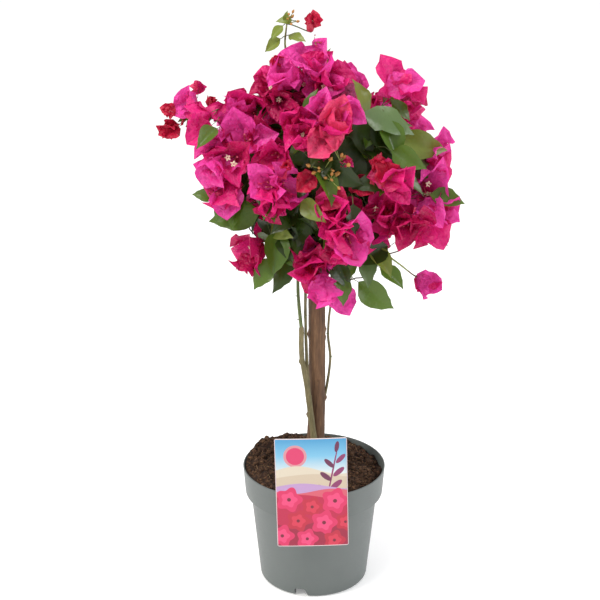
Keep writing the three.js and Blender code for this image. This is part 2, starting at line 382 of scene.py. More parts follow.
def moist_peat(name, stops):
    """Moist peat: near-black brown with lighter fibres, fully matt, broken up by crumbs of 1 to 3 mm."""
    material, tree = new_material(name)
    crumb = scaled_noise(tree, 4.5, detail=8.0, roughness=0.7)
    shade = add(tree, "ShaderNodeValToRGB", {"Fac": crumb}, stops)
    return opaque(material, shade, crumb, roughness=0.95, ior=1.4, strength=0.8, relief_mm=1.2)


def streaked_bark(name, stops, streak_mm, relief_mm, roughness):
    """Thin bark: upright streaks many times longer than wide, matt, with a shallow relief along them."""
    material, tree = new_material(name)
    streak = scaled_noise(tree, streak_mm, stretch=(1, 1, 9), detail=6.0, roughness=0.65)
    patch = scaled_noise(tree, streak_mm * 7, stretch=(1, 1, 3), detail=3.0)
    both = add(tree, "ShaderNodeMath", {0: patch, 1: 0.55, 2: streak}, operation="MULTIPLY_ADD")
    level = add(tree, "ShaderNodeMath", {0: both, 1: 0.27}, operation="SUBTRACT")
    shade = add(tree, "ShaderNodeValToRGB", {"Fac": level}, stops)
    return opaque(material, shade, streak, roughness=roughness, ior=1.45, strength=0.7, relief_mm=relief_mm)


def thin_tissue(name, value, through_value, roughness, sheerness, cell_mm, relief_mm):
    """Thin living tissue: light comes through it, and a net of veins puckers it."""
    material, tree = new_material(name)
    cell = cell_mm * MM
    place = add(tree, "ShaderNodeTexCoord").outputs["Object"]
    warp = add(tree, "ShaderNodeTexNoise", {"Vector": place, "Scale": 0.5 / cell, "Detail": 2.0})
    reach = {0: warp.outputs["Color"], "Scale": 2 * cell}
    shift = add(tree, "ShaderNodeVectorMath", reach, operation="SCALE")
    warped = add(tree, "ShaderNodeVectorMath", {0: place, 1: shift}, operation="ADD")
    net = {"Vector": warped, "Scale": 1 / cell, "Smoothness": 0.4}
    cells = add(tree, "ShaderNodeTexVoronoi", net, feature="SMOOTH_F1")
    pucker = {"Strength": 0.8, "Distance": relief_mm * MM, "Height": cells}
    bump = add(tree, "ShaderNodeBump", pucker, invert=True)
    face = {"Base Color": colour(value), "Roughness": roughness, "IOR": 1.45, "Normal": bump}
    lit = add(tree, "ShaderNodeBsdfPrincipled", face)
    glow = add(tree, "ShaderNodeBsdfTranslucent", {"Color": colour(through_value), "Normal": bump})
    return ended(material, add(tree, "ShaderNodeMixShader", {"Fac": sheerness, 1: lit, 2: glow}))


# Each tissue's roughness, the share of light that comes through, the width of a cell and its relief in mm.
TISSUES = {
    "papery_bract": (0.48, 0.28, 5.0, 2.4),
    "smooth_leaf": (0.36, 0.18, 5.0, 0.35),
    "bud_skin": (0.5, 0.1, 3.0, 0.8),
    "rosy_flower_tube": (0.5, 0.12, 1.0, 0.2),
    "cream_flower": (0.5, 0.2, 1.0, 0.2),
}
# The tones are dealt out spray by spray, and each is a piece of its own: its colour, and its colour with
# light behind it.
BRACT_TONES = {
    "pink": (0xE640A2, 0xF24CAC),
    "rose": (0xD61E74, 0xEE2C8C),
    "deep": (0xB41054, 0xDC1E6E),
    "pale": (0xEE80BC, 0xF68CC4),
    "coral": (0xD63A6A, 0xF04E7C),
    "crimson": (0xBA163E, 0xD8264E),
}
# The tone that now and then takes the place of a bract's own.
NEXT_TONE = {
    "pink": "rose",
    "rose": "deep",
    "deep": "rose",
    "pale": "pink",
    "coral": "rose",
    "crimson": "crimson",
}
LEAF_TONES = {
    "green": (0x466018, 0x789828),
    "olive": (0x6C7A30, 0x9EAC42),
    # dark is the tone of darker leaves, and inside the crown it is painted shade as well
    "dark": (0x2A3C10, 0x4C6A1C),
    "grey": (0x566C40, 0x7A9054),
}
BUD_TONES = {"coral": (0xB83048, 0xD04058), "amber": (0xAE7A3C, 0xC8984A)}


def tinted(kind, tones):
    """A tissue of the kind in each of its tones."""
    return {tone: thin_tissue(f"{kind}_{tone}", *tints, *TISSUES[kind]) for tone, tints in tones.items()}


# ---------------------------------------------------------------------------------------------
# Shapes set on points, and skins on paths
# ---------------------------------------------------------------------------------------------

SCATTER_TREE = "Shapes on points"
PATH_TREE = "Skin on paths"


def new_tree(name, kinds):
    """A geometry nodes tree that takes geometry, a material and inputs of the given kinds."""
    tree = bpy.data.node_groups.new(name, "GeometryNodeTree")
    for label, kind in {"Geometry": "Geometry", "Material": "Material", **kinds}.items():
        tree.interface.new_socket(label, in_out="INPUT", socket_type=f"NodeSocket{kind}")
    tree.interface.new_socket("Geometry", in_out="OUTPUT", socket_type="NodeSocketGeometry")
    return tree, add(tree, "NodeGroupInput").outputs


def ended_tree(tree, geometry, material):
    """The tree, which makes its geometry real and gives it the material."""
    real = add(tree, "GeometryNodeRealizeInstances", {"Geometry": geometry})
    dressed = add(tree, "GeometryNodeSetMaterial", {"Geometry": real, "Material": material})
    add(tree, "NodeGroupOutput", {"Geometry": dressed})
    return tree


def scatter_tree():
    """Puts shapes on points: each point names its shape, turn and size."""
    inputs = {"Shapes": "Collection", "Size spread": "Float", "Seed": "Int"}
    tree, given = new_tree(SCATTER_TREE, inputs)
    kept_apart = {"Collection": given["Shapes"], "Separate Children": True, "Reset Children": True}
    shapes = add(tree, "GeometryNodeCollectionInfo", kept_apart)
    shape, turn, size = (
        add(tree, "GeometryNodeInputNamedAttribute", {"Name": name}, data_type=kind)
        for name, kind in (("shape", "INT"), ("turn", "QUATERNION"), ("size", "FLOAT"))
    )
    low, high = (
        add(tree, "ShaderNodeMath", {0: 1.0, 1: given["Size spread"]}, operation=operation)
        for operation in ("SUBTRACT", "ADD")
    )
    limits = {2: low, 3: high, "Seed": given["Seed"]}
    spread = add(tree, "FunctionNodeRandomValue", limits, data_type="FLOAT")
    scale = add(tree, "ShaderNodeMath", {0: size, 1: spread.outputs[1]}, operation="MULTIPLY")
    points = {"Points": given["Geometry"], "Instance": shapes, "Pick Instance": True}
    each = {"Instance Index": shape, "Rotation": turn, "Scale": scale}
    placed = add(tree, "GeometryNodeInstanceOnPoints", points | each)
    return ended_tree(tree, placed, given["Material"])


def path_tree():
    """Gives edges a round skin, as thick as each point's width says."""
    tree, given = new_tree(PATH_TREE, {"Sides": "Int"})
    width = add(tree, "GeometryNodeInputNamedAttribute", {"Name": "width"}, data_type="FLOAT")
    path = add(tree, "GeometryNodeMeshToCurve", {"Mesh": given["Geometry"]})
    ring = add(tree, "GeometryNodeCurvePrimitiveCircle", {"Radius": 1.0, "Resolution": given["Sides"]})
    round_skin = {"Curve": path, "Profile Curve": ring, "Scale": width, "Fill Caps": True}
    skin = add(tree, "GeometryNodeCurveToMesh", round_skin)
    smooth = add(tree, "GeometryNodeSetShadeSmooth", {"Geometry": skin})
    return ended_tree(tree, smooth, given["Material"])


def give_points(piece, name, kind, values):
    """Gives each point of the piece its value of a named attribute."""
    piece.data.attributes.new(name, kind, "POINT").data.foreach_set("value", values)


def made_over(piece, tree, inputs):
    """The piece as a geometry nodes tree makes it. The inputs are set by their sockets' identifiers."""
    modifier = piece.modifiers.new(tree.name, "NODES")
    modifier.node_group = tree
    for item in tree.interface.items_tree:
        if item.name in inputs:
            modifier[item.identifier] = inputs[item.name]
    return baked(piece)


def scattered(name, places, shapes, material, spread=0.05, seed=1):
    """One joined piece of shapes. Each place is its point, turn, size and the number of its shape."""
    piece = mesh_object(name, [place[0] for place in places], smooth=False)
    give_points(piece, "turn", "QUATERNION", [part for place in places for part in place[1]])
    give_points(piece, "size", "FLOAT", [place[2] for place in places])
    give_points(piece, "shape", "INT", [place[3] for place in places])
    tree = bpy.data.node_groups.get(SCATTER_TREE) or scatter_tree()
    inputs = {"Shapes": shapes, "Material": material, "Size spread": spread, "Seed": seed}
    return made_over(piece, tree, inputs)


def skinned_paths(name, paths, sides, material):
    """One joined piece of round limbs. Each path is a list of (point, radius)."""
    vertices, edges, widths = [], [], []
    for path in paths:
        start = len(vertices)
        vertices += [point for point, _ in path]
        widths += [radius for _, radius in path]
        edges += [(start + index, start + index + 1) for index in range(len(path) - 1)]
    piece = mesh_object(name, vertices, edges=edges, smooth=False)
    give_points(piece, "width", "FLOAT", widths)
    tree = bpy.data.node_groups.get(PATH_TREE) or path_tree()
    return made_over(piece, tree, {"Sides": sides, "Material": material})


def shape_collection(name, make, count):
    """A collection of shapes for the scatter tree, kept out of the scene. It picks them in name order."""
    collection = bpy.data.collections.new(name)
    for number in range(count):
        shape = make(f"{name}_{number:02d}", number)
        bpy.context.scene.collection.objects.unlink(shape)
        collection.objects.link(shape)
    return collection


def drop(collection):
    """Removes a collection of shapes once they are used."""
    for shape in list(collection.objects):
        bpy.data.objects.remove(shape)
    bpy.data.collections.remove(collection)


# ---------------------------------------------------------------------------------------------
# The pot, in mm
# ---------------------------------------------------------------------------------------------

POT_SIDES = 192
FOOT_NOTCHES = 3
FIRST_NOTCH = math.radians(-103)
NOTCH_FROM, NOTCH_DEPTH = 53, 20
DRAIN_HOLES = 6
HOLE_RING, HOLE_RADIUS, HOLE_FOOT, HOLE_DEPTH = 48.5, 4, 7, 8
SHARP_EDGE = math.radians(28)


def pot_profile(pot):
    """Radius and height of the pot's skin, from the middle of the foot out, up and back inside."""
    low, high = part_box("pot")
    rim = (high.x - low.x) / 2 / MM
    top = high.z / MM
    wall, collar = pot.wall / MM, top - pot.collar / MM
    channel = pot.foot_height / MM
    body_top, body_foot, collar_foot = rim - 9.2, rim - 20, rim - 2.6
    profile = [(0, 0), (37, 0), (38, 0.5), (40.5, channel - 0.8), (41.5, channel)]
    profile += [(55, channel), (56, channel - 0.6), (57, 0.4), (57.5, 0)]
    for step in range(7):
        angle = math.radians(-90 + 15 * step)
        profile.append((body_foot - 4 + 4 * math.cos(angle), 4 + 4 * math.sin(angle)))
    profile += [(body_top - 0.2, collar - 3.6), (body_top + 0.2, collar - 2.9)]
    profile += [(collar_foot - 1.2, collar - 0.3), (collar_foot - 0.3, collar + 0.2)]
    profile += [(collar_foot + 0.1, collar + 1.4), (rim - 0.1, top - 0.9)]
    profile += [(rim, top - 0.5), (rim - 0.2, top - 0.1), (rim - 0.6, top)]
    profile += [(rim - wall + 0.3, top), (rim - wall, top - 0.5)]
    profile += [(collar_foot - wall, collar + 2), (body_top - wall, collar - 2)]
    profile += [(body_foot - wall + 0.4, channel + 2), (40, channel + 2), (37, 2), (0, 2)]
    return profile


def turned(name, profile, sides):
    """A lathe about Z. The ends of the profile lie on the axis."""
    start, *inner, end = profile
    rings = [[Vector((x, y, height)) * MM for x, y in circle(sides, radius)] for radius, height in inner]
    poles = [Vector((0, 0, height)) * MM for _, height in (start, end)]
    return mesh_object(name, *poled(rings, *poles))


def block(name, corners, depth):
    """A prism: the corners lie in the YZ plane, and the prism runs along +X."""
    ends = [[Vector((x, y, z)) * MM for y, z in corners] for x in (0, depth)]
    return faced_outwards(mesh_object(name, *loft(ends), smooth=False))


class PLANT_OT_pot(bpy.types.Operator):
    """Turns the nursery pot on its profile, and cuts the foot notches and drain holes"""

    bl_idname = "plant.pot"
    bl_label = "Nursery pot"

    def execute(self, context):
        pot = context.scene.plant_pot
        piece = turned("nursery_pot", pot_profile(pot), POT_SIDES)
        half, tall = pot.notch_width / MM / 2, pot.foot_height / MM - 0.7
        corners = [(-half, -2), (half, -2), (half - 1, 0), (half - 5, tall - 1), (half - 6, tall)]
        corners += [(1.5 - half, tall), (-half, tall - 1.5)]
        cutters = []
        for index in range(FOOT_NOTCHES):
            notch = block("notch_cutter", corners, NOTCH_DEPTH)
            turn = Matrix.Rotation(FIRST_NOTCH + math.tau / FOOT_NOTCHES * index, 4, "Z")
            notch.data.transform(turn @ Matrix.Translation(Vector((NOTCH_FROM * MM, 0, 0))))
            cutters.append(notch)
        upright = Matrix.Rotation(-math.pi / 2, 4, "Y")
        for x, y in circle(DRAIN_HOLES, HOLE_RING):
            hole = block("hole_cutter", circle(24, HOLE_RADIUS), HOLE_DEPTH)
            hole.data.transform(Matrix.Translation(Vector((x, y, HOLE_FOOT)) * MM) @ upright)
            cutters.append(hole)
        for cutter in cutters:
            cut = piece.modifiers.new("cut", "BOOLEAN")
            cut.operation = "DIFFERENCE"
            cut.solver = "EXACT"
            cut.object = cutter
        baked(piece)
        for cutter in cutters:
            bpy.data.objects.remove(cutter)
        piece.data.shade_smooth()
        piece.data.set_sharp_from_angle(angle=SHARP_EDGE)
        finished(piece, "pot", "pot", material=moulded_polypropylene(pot.tint))
        return {"FINISHED"}


# ---------------------------------------------------------------------------------------------
# The compost, in mm
# ---------------------------------------------------------------------------------------------

COMPOST_RINGS, COMPOST_SIDES = 46, 168
COMPOST_LEVEL, COMPOST_TILT, COMPOST_FOOT = 138.6, 8, 118
HIGH_SIDE = math.radians(135)
HEAP_TURN, HEAP_HEIGHT = 138, 6.0
TOP_PEAT = [(0.30, 0x120B07), (0.5, 0x2C1C12), (0.6, 0x4A3322), (0.74, 0x7A5B3E)]


def compost_height(x, y, rim, relief):
    """Height of the compost: higher and heaped on one side, lumpy all over, sunk a little by the wall."""
    out = math.hypot(x, y) / rim
    side = math.cos(math.atan2(y, x) - HIGH_SIDE) * out
    place = Vector((x, y, 0))
    lumps = noise.fractal(place / 17, 0.9, 2.2, 5) + 0.45 * abs(noise.noise(place / 5))
    edge = -1.6 * smooth_step((out - 0.86) / 0.12)
    turn = math.degrees(math.atan2(y, x))
    heap = HEAP_HEIGHT * math.exp(-(((turn - HEAP_TURN) / 32) ** 2) - ((out - 0.88) / 0.2) ** 2)
    clods = max(0.0, noise.noise(place / 9 + Vector((3, 7, 1)))) * 1.6
    return COMPOST_LEVEL + COMPOST_TILT * side + (lumps + clods) * relief + edge + heap


def crumb_shape(name, number):
    """A crumb 2 mm across, pushed out of round and a little longer than wide."""
    shape = bmesh.new()
    bmesh.ops.create_icosphere(shape, subdivisions=1, radius=MM)
    for vertex in shape.verts:
        vertex.co *= 1 + 0.45 * noise.noise(vertex.co / MM * 1.3 + Vector((number * 7.1, 0, 0)))
        vertex.co.x *= 1.4
    piece = mesh_object(name, (), smooth=False)
    shape.to_mesh(piece.data)
    shape.free()
    return piece


def fibre_shape(name, number):
    """A bent root fibre 9 mm long and 0.5 mm thick."""
    rings = []
    for step in range(5):
        share = step / 4
        bend, lift = math.sin(share * 2 + number) * 1.2, math.sin(share * 3.1) * 0.8
        centre = Vector((bend, (share - 0.5) * 9, lift))
        rings.append([(centre + Vector((x, 0, z))) * MM for x, z in circle(4, 0.27)])
    return mesh_object(name, *loft(rings))


# What lies loose: its shape, its smallest and largest size, and its colours.
LOOSE = {
    "crumbs": (crumb_shape, 0.5, 3.2, [(0.3, 0x1A100A), (0.48, 0x3A2618), (0.6, 0x5E4430), (0.72, 0x8A6A4A)]),
    "fibres": (fibre_shape, 0.5, 1.3, [(0.3, 0x4A3626), (0.55, 0x7E6246), (0.8, 0xB49A76)]),
}
LOOSE_SHAPES = 3


class PLANT_OT_compost(bpy.types.Operator):
    """Models the lumpy top of the compost, with loose crumbs and fibres on it"""

    bl_idname = "plant.compost"
    bl_label = "Compost"

    def execute(self, context):
        compost = context.scene.plant_compost
        low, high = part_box("soil")
        rim = (high.x - low.x) / 2 / MM
        edge = rim - 0.2

        def on_top(x, y, above=0.0):
            height = compost_height(x, y, rim, compost.relief / MM)
            return Vector((x, y, height + above)) * MM

        rings = []
        for ring in range(1, COMPOST_RINGS + 1):
            spots = circle(COMPOST_SIDES, edge * ring / COMPOST_RINGS)
            rings.append([on_top(x, y) for x, y in spots])
        foot = COMPOST_FOOT * MM
        rings.append([Vector((point.x * 0.97, point.y * 0.97, foot)) for point in rings[-1]])
        vertices, faces = poled(rings, on_top(0, 0), Vector((0, 0, foot)))
        faces = [tuple(reversed(face)) for face in faces]
        piece = faced_outwards(mesh_object("compost_top", vertices, faces))
        finished(piece, "compost", "soil", material=moist_peat("moist_peat", TOP_PEAT))
        chance = random.Random(compost.seed)
        for kind, (make, smallest, largest, stops) in LOOSE.items():
            places = []
            for _ in range(getattr(compost, kind)):
                radius = (edge - 2) * math.sqrt(chance.random())
                angle = chance.random() * math.tau
                point = on_top(radius * math.cos(angle), radius * math.sin(angle), 0.2)
                facing = Vector((chance.gauss(0, 1), chance.gauss(0, 1), chance.gauss(0, 0.35)))
                size = smallest + (largest - smallest) * chance.random() ** 3
                places.append((point, axes(facing, UP), size, chance.randrange(LOOSE_SHAPES)))
            shapes = shape_collection(kind, make, LOOSE_SHAPES)
            peat = moist_peat(f"peat_{kind}", stops)
            loose = scattered(f"compost_{kind}", places, shapes, peat, 0.1, compost.seed)
            loose.data.shade_smooth()
            drop(shapes)
            finished(loose, "compost")
        return {"FINISHED"}


# ---------------------------------------------------------------------------------------------
# The label: a card with a tongue over the rim, and a plain printed pattern of blossoms and bands
# ---------------------------------------------------------------------------------------------

CARD_WIDTH, CARD_HEIGHT, CARD_CORNER = 82.5, 134, 2
CARD_LEAN, CARD_TURN = math.radians(3), math.radians(1.5)
CARD_ASIDE, CARD_TOP, RIM_HEIGHT, RIM_FRONT = -5, 217.5, 145, -85.3
CARD_COLUMNS = 24
# The tongue's way over the rim, as Y and Z, and half its width.
TONGUE = [(-86.0, 150), (-85.6, 147.3), (-84.2, 146.6), (-82.9, 146.9), (-82.2, 145.2)]
TONGUE += [(-81.4, 138), (-79.2, 118)]
TONGUE_HALF = Vector((7, 0, 0)) * MM
TONGUE_STEPS = 28

# The card's width as a share of its height, so that what is printed stays round.
CARD_SHAPE = 0.62
SKY = [(0.68, 0xC4CCCC), (0.84, 0x6FAAC8), (1.0, 0x3C88B4)]
SUN = (0.28, 0.84, {0.1: 0xC08088, 0.078: 0xC2305E})
# Hills and bands, each printed below a wavy line: its height, swing, waves and ink.
FAR_HILLS = ((0.71, 0.04, 5.2, 0xC4B9A6), (0.64, 0.035, 3.1, 0xB9A994))
NEAR_HILLS = (
    (0.56, 0.03, 4.4, 0xA988B2),
    (0.515, -0.02, 6.1, 0xBE5060),
    (0.46, 0.025, 5.0, 0xA8143E),
    (0.21, -0.025, 7.0, 0x8C1034),
)
BLOSSOMS = (
    # across and up as shares of the card, then size and shade
    (0.18, 0.44, 0.24, "pink"),
    (0.50, 0.37, 0.20, "red"),
    (0.82, 0.42, 0.25, "pink"),
    (0.30, 0.24, 0.21, "red"),
    (0.66, 0.22, 0.24, "pink"),
    (0.96, 0.22, 0.18, "red"),
    (0.07, 0.10, 0.22, "pink"),
    (0.42, 0.07, 0.20, "pink"),
    (0.80, 0.05, 0.20, "red"),
)
BLOSSOM_HEART = 0x6A1028
SPRIG = (
    # across and up as shares of the card, then slant in degrees, length and width
    (0.79, 0.68, 78, 0.50, 0.014),
    (0.66, 0.53, 140, 0.13, 0.05),
    (0.84, 0.57, 40, 0.13, 0.05),
    (0.70, 0.65, 140, 0.12, 0.046),
    (0.88, 0.69, 40, 0.12, 0.046),
    (0.75, 0.77, 135, 0.11, 0.042),
    (0.91, 0.81, 45, 0.11, 0.042),
    (0.86, 0.92, 80, 0.10, 0.038),
)
SPRIG_INKS = (0x7C2C5A, 0x5E2044)
INKS = {"pink": (0xC22456, 0xD03C6C), "red": (0xAA1834, 0xBE2A44)}
BORDER = 0xCDB9BC
CARD_COLOUR = colour(0xE9E6DF)


def printed_card():
    """Offset-printed plastic card: smooth, with a satin varnish, and flat areas of ink."""
    material, tree = new_material("printed_card")
    card = add(tree, "ShaderNodeUVMap", uv_map="UVMap")
    split = add(tree, "ShaderNodeSeparateXYZ", {"Vector": card})
    across, up = split.outputs["X"], split.outputs["Y"]
    plane = add(tree, "ShaderNodeMapping", {"Vector": card, "Scale": (CARD_SHAPE, 1, 1)})

    def inked(below, value, inside, edge):
        """Prints an ink over the ones below it, wherever inside is less than edge."""
        mask = add(tree, "ShaderNodeMath", {0: inside, 1: edge}, operation="LESS_THAN")
        inks = {0: mask, 6: below, 7: colour(value)}
        return add(tree, "ShaderNodeMix", inks, data_type="RGBA").outputs[2]

    def hill(below, height, swing, waves, value):
        """Prints everything below a wavy line across the card."""
        along = add(tree, "ShaderNodeMath", {0: across, 1: waves}, operation="MULTIPLY")
        wave = add(tree, "ShaderNodeMath", {0: along}, operation="SINE")
        line = add(tree, "ShaderNodeMath", {0: wave, 1: swing, 2: height}, operation="MULTIPLY_ADD")
        return inked(below, value, up, line)

    ink = add(tree, "ShaderNodeValToRGB", {"Fac": up}, SKY)
    x, y, discs = SUN
    centre = {0: plane, 1: (CARD_SHAPE * x, y, 0)}
    reach = add(tree, "ShaderNodeVectorMath", centre, operation="DISTANCE").outputs["Value"]
    for radius, value in discs.items():
        ink = inked(ink, value, reach, radius)
    for band in FAR_HILLS:
        ink = hill(ink, *band)
    for number, (x, y, slant, length, width) in enumerate(SPRIG):
        leaf = {
            "Vector": plane,
            "Location": (CARD_SHAPE * x, y, 0),
            "Rotation": (0, 0, math.radians(slant)),
            "Scale": (length / 2, width / 2, 1),
        }
        place = add(tree, "ShaderNodeMapping", leaf, vector_type="TEXTURE")
        reach = add(tree, "ShaderNodeVectorMath", {0: place}, operation="LENGTH").outputs["Value"]
        ink = inked(ink, SPRIG_INKS[number % 2], reach, 1.0)
    for band in NEAR_HILLS:
        ink = hill(ink, *band)
    for x, y, size, shade in BLOSSOMS:
        centre = {0: plane, 1: (CARD_SHAPE * x, y, 0)}
        away = add(tree, "ShaderNodeVectorMath", centre, operation="SUBTRACT")
        reach = add(tree, "ShaderNodeVectorMath", {0: away}, operation="LENGTH").outputs["Value"]
        parts = add(tree, "ShaderNodeSeparateXYZ", {"Vector": away}).outputs
        turn = add(tree, "ShaderNodeMath", {0: parts["Y"], 1: parts["X"]}, operation="ARCTAN2")
        five = add(tree, "ShaderNodeMath", {0: turn, 1: 5.0}, operation="MULTIPLY")
        lobes = add(tree, "ShaderNodeMath", {0: five}, operation="COSINE")
        outline = {0: lobes, 1: 0.13 * size / 2, 2: 0.87 * size / 2}
        outer = add(tree, "ShaderNodeMath", outline, operation="MULTIPLY_ADD")
        inner = add(tree, "ShaderNodeMath", {0: outer, 1: 0.62}, operation="MULTIPLY")
        for value, edge in zip((*INKS[shade], BLOSSOM_HEART), (outer, inner, size * 0.07)):
            ink = inked(ink, value, reach, edge)
    inset = {"Vector": card, "Location": (0.5, 0.5, 0), "Scale": (0.491, 0.494, 1)}
    framed = add(tree, "ShaderNodeMapping", inset, vector_type="TEXTURE")
    aside = add(tree, "ShaderNodeVectorMath", {0: framed}, operation="ABSOLUTE")
    parts = add(tree, "ShaderNodeSeparateXYZ", {"Vector": aside}).outputs
    farthest = add(tree, "ShaderNodeMath", {0: parts["X"], 1: parts["Y"]}, operation="MAXIMUM")
    ink = inked(ink, BORDER, 1.0, farthest)
    sheet = scaled_noise(tree, 9, detail=2.0)
    return opaque(material, ink, sheet, roughness=0.36, ior=1.5, strength=0.08, relief_mm=0.3)


def unprinted_card():
    """The same card where it is left pale: its back, its edges and the tongue."""
    material, tree = new_material("unprinted_card")
    sheet = scaled_noise(tree, 2.0)
    return opaque(material, CARD_COLOUR, sheet, roughness=0.4, ior=1.5, strength=0.1, relief_mm=0.1)


def card_point(across, up, label):
    """A point on the card's printed side. across runs from -1 to 1 and up from 0 to 1."""
    x, z = across * CARD_WIDTH / 2, (up - 1) * CARD_HEIGHT
    cos, sin = math.cos(CARD_TURN), math.sin(CARD_TURN)
    x, z = x * cos - z * sin, z * cos + x * sin
    bow = label.bow / MM * (1 - across * across)
    y = RIM_FRONT + math.tan(CARD_LEAN) * (z + CARD_TOP - RIM_HEIGHT) - label.thickness / MM - bow + 0.2
    return Vector((x + CARD_ASIDE, y, z + CARD_TOP)) * MM


class PLANT_OT_label(bpy.types.Operator):
    """Models the bowed card and the tongue that hooks it on the rim"""

    bl_idname = "plant.label"
    bl_label = "Card label"

    def execute(self, context):
        label = context.scene.plant_label
        near_end = [mm / CARD_HEIGHT for mm in (0, 0.15, 0.5, 1.1, 2)]
        levels = near_end + [0.02 + 0.96 * step / 32 for step in range(1, 32)]
        levels += [1 - up for up in reversed(near_end)]
        vertices, uvs = [], []
        for up in levels:
            # the corners are rounded by pulling the outermost points in
            short = 1 - min(1, min(up, 1 - up) * CARD_HEIGHT / CARD_CORNER)
            pull = CARD_CORNER * 2 / CARD_WIDTH * (1 - math.sqrt(1 - short**2))
            for column in range(CARD_COLUMNS + 1):
                across = column / CARD_COLUMNS * 2 - 1
                vertices.append(card_point(across * (1 - pull), up, label))
                uvs.append((across * 0.5 + 0.5, up))
        card = mesh_object("card_front", vertices, sheet_faces(CARD_COLUMNS, len(levels) - 1), uvs=uvs)
        thick = card.modifiers.new("thickness", "SOLIDIFY")
        thick.thickness = label.thickness
        thick.offset = -1
        thick.material_offset = 1
        thick.material_offset_rim = 1
        plain = unprinted_card()
        card.data.materials.append(printed_card())
        card.data.materials.append(plain)
        baked(card)
        card.name = "card_label"
        finished(card, "label_card", "label")
        points = [Vector((CARD_ASIDE, y, z)) * MM for y, z in TONGUE]
        rings = []
        for step in range(TONGUE_STEPS + 1):
            share = step / TONGUE_STEPS
            point = spline(points, share)
            ahead = spline(points, min(1, share + 0.02)) - spline(points, max(0, share - 0.02))
            front = ahead.cross(Vector((1, 0, 0))).normalized() * 0.4 * MM
            left, right = point - TONGUE_HALF, point + TONGUE_HALF
            rings.append([left - front, right - front, right + front, left + front])
        tongue = mesh_object("card_tongue", *loft(rings), smooth=False)
        finished(tongue, "label_card", material=plain)
        return {"FINISHED"}


# ---------------------------------------------------------------------------------------------
# The trunk and the stems, in mm
# ---------------------------------------------------------------------------------------------

# Each bark's colours, the width of its streaks, its relief and its roughness.
BARKS = {
    "brown_bark": ([(0.22, 0x3A2618), (0.42, 0x533A26), (0.6, 0x654830), (0.82, 0x806042)], 2.6, 0.4, 0.7),
    "olive_young_bark": (
        [(0.2, 0x3C3622), (0.42, 0x5E573A), (0.62, 0x756B4A), (0.85, 0x938660)], 1.6, 0.25, 0.7
    ),
    "green_young_bark": (
        [(0.2, 0x36431F), (0.45, 0x505E30), (0.65, 0x687444), (0.85, 0x888C5A)], 1.4, 0.2, 0.6
    ),
    "pale_green_shoot": ([(0.2, 0x5C6A30), (0.5, 0x7E8A44), (0.8, 0xA2A660)], 1.2, 0.1, 0.55),
}
# Each limb's points, its radii at foot and tip, its relief and its bark. They follow the frame's limbs. The
# stems start up to 5 mm lower, but the inner left one 82 mm lower. The boughs start up to 6 mm further in, and
# run on by up to 22 mm past the frame's tips.
TRUNK_LINE = [(-1, 0, 136), (1, 0, 166), (3, 0, 212), (3, 0, 290), (2.2, 0, 424)]
STEMS = {
    "stem_left": (
        [(4, -19, 139), (1.5, -17, 170), (-3.5, -14, 211), (-10, -13, 262), (-14.8, -12, 290)]
        + [(-15, -11, 327)],
        (4.1, 2.8),
        0.45,
        "olive_young_bark",
    ),
    "stem_left_outer": (
        [(-15, -11, 322), (-17.8, -11, 349), (-19.2, -10, 379), (-18.5, -8, 418)],
        (2.2, 1.5),
        0.2,
        "green_young_bark",
    ),
    "stem_left_inner": (
        [(-6, -13, 244), (-8.5, -9, 276), (-10, -7, 312), (-10.6, -9, 345), (-10.4, -12, 372)]
        + [(-10, -13, 418)],
        (1.9, 1.6),
        0.2,
        "olive_young_bark",
    ),
    "stem_right": (
        [(11, 0, 226), (15.3, 0, 250), (18.6, 0, 282), (16, 0, 308), (16.6, 0, 330), (18.4, 0, 352)]
        + [(20, 0, 418)],
        (1.7, 1.15),
        0.15,
        "olive_young_bark",
    ),
    "bough_top": (
        [(-28, -6, 606), (-31, -3, 632), (-33, 0, 652), (-31, -2, 672)], (1.5, 0.8), 0.1, "pale_green_shoot"
    ),
    "bough_left": (
        [(-80, -4, 572), (-104, -2, 576), (-122, 0, 576), (-138, -2, 582)],
        (1.6, 0.8),
        0.1,
        "pale_green_shoot",
    ),
    "bough_low_right": (
        [(80, -12, 414), (100, -6, 397), (112, -2, 386), (121, -2, 381)], (1.1, 0.6), 0.05, "pale_green_shoot"
    ),
}
# Nubs where shoots were cut: limb, height, side in degrees from the front towards +X, and size.
NUBS = (
    ("stem_left", 282, -85, 1.9),
    ("stem_left", 240, 60, 1.3),
    ("stem_left", 318, 40, 1.7),
    ("stem_left", 214, -70, 1.4),
    ("trunk", 210, -88, 2.6),
    ("trunk", 312, -89, 2.2),
    ("trunk", 318, 88, 1.7),
    ("trunk", 308, 89, 1.5),
    ("trunk", 258, 20, 1.4),
    ("trunk", 232, 88, 2.2),
)
# Thorns, from foot to tip.
THORNS = (
    ((-16, -12, 335), (-22.5, -14, 334.6)),
    ((-12, -12, 337), (-7.6, -15, 341)),
    ((-18.5, -12, 362), (-23, -14, 365)),
    ((18.4, -1, 283), (22.5, -3, 286)),
    ((16, -1, 312), (12.6, -2, 314)),
)
LIMB_STEP = 1.6
TRUNK_RADIUS, TRUNK_TAPER, TRUNK_RELIEF = 10.1, 0.5, 0.32
FLARE, FLARE_HEIGHT = 3.6, 72
TRUNK_SIDES, STEM_SIDES = 72, 18


def nub_push(limb_name, point, centre):
    """How far the nubs push the skin out at a point."""
    push = 0.0
    for owner, height, side, size in NUBS:
        if owner == limb_name:
            outward = (point - centre).normalized()
            beside = outward.angle(heading(side, 0)) / 0.42
            apart = math.hypot((point.z - height) / (size * 1.5), beside)
            push += size * math.exp(-apart * apart)
    return push


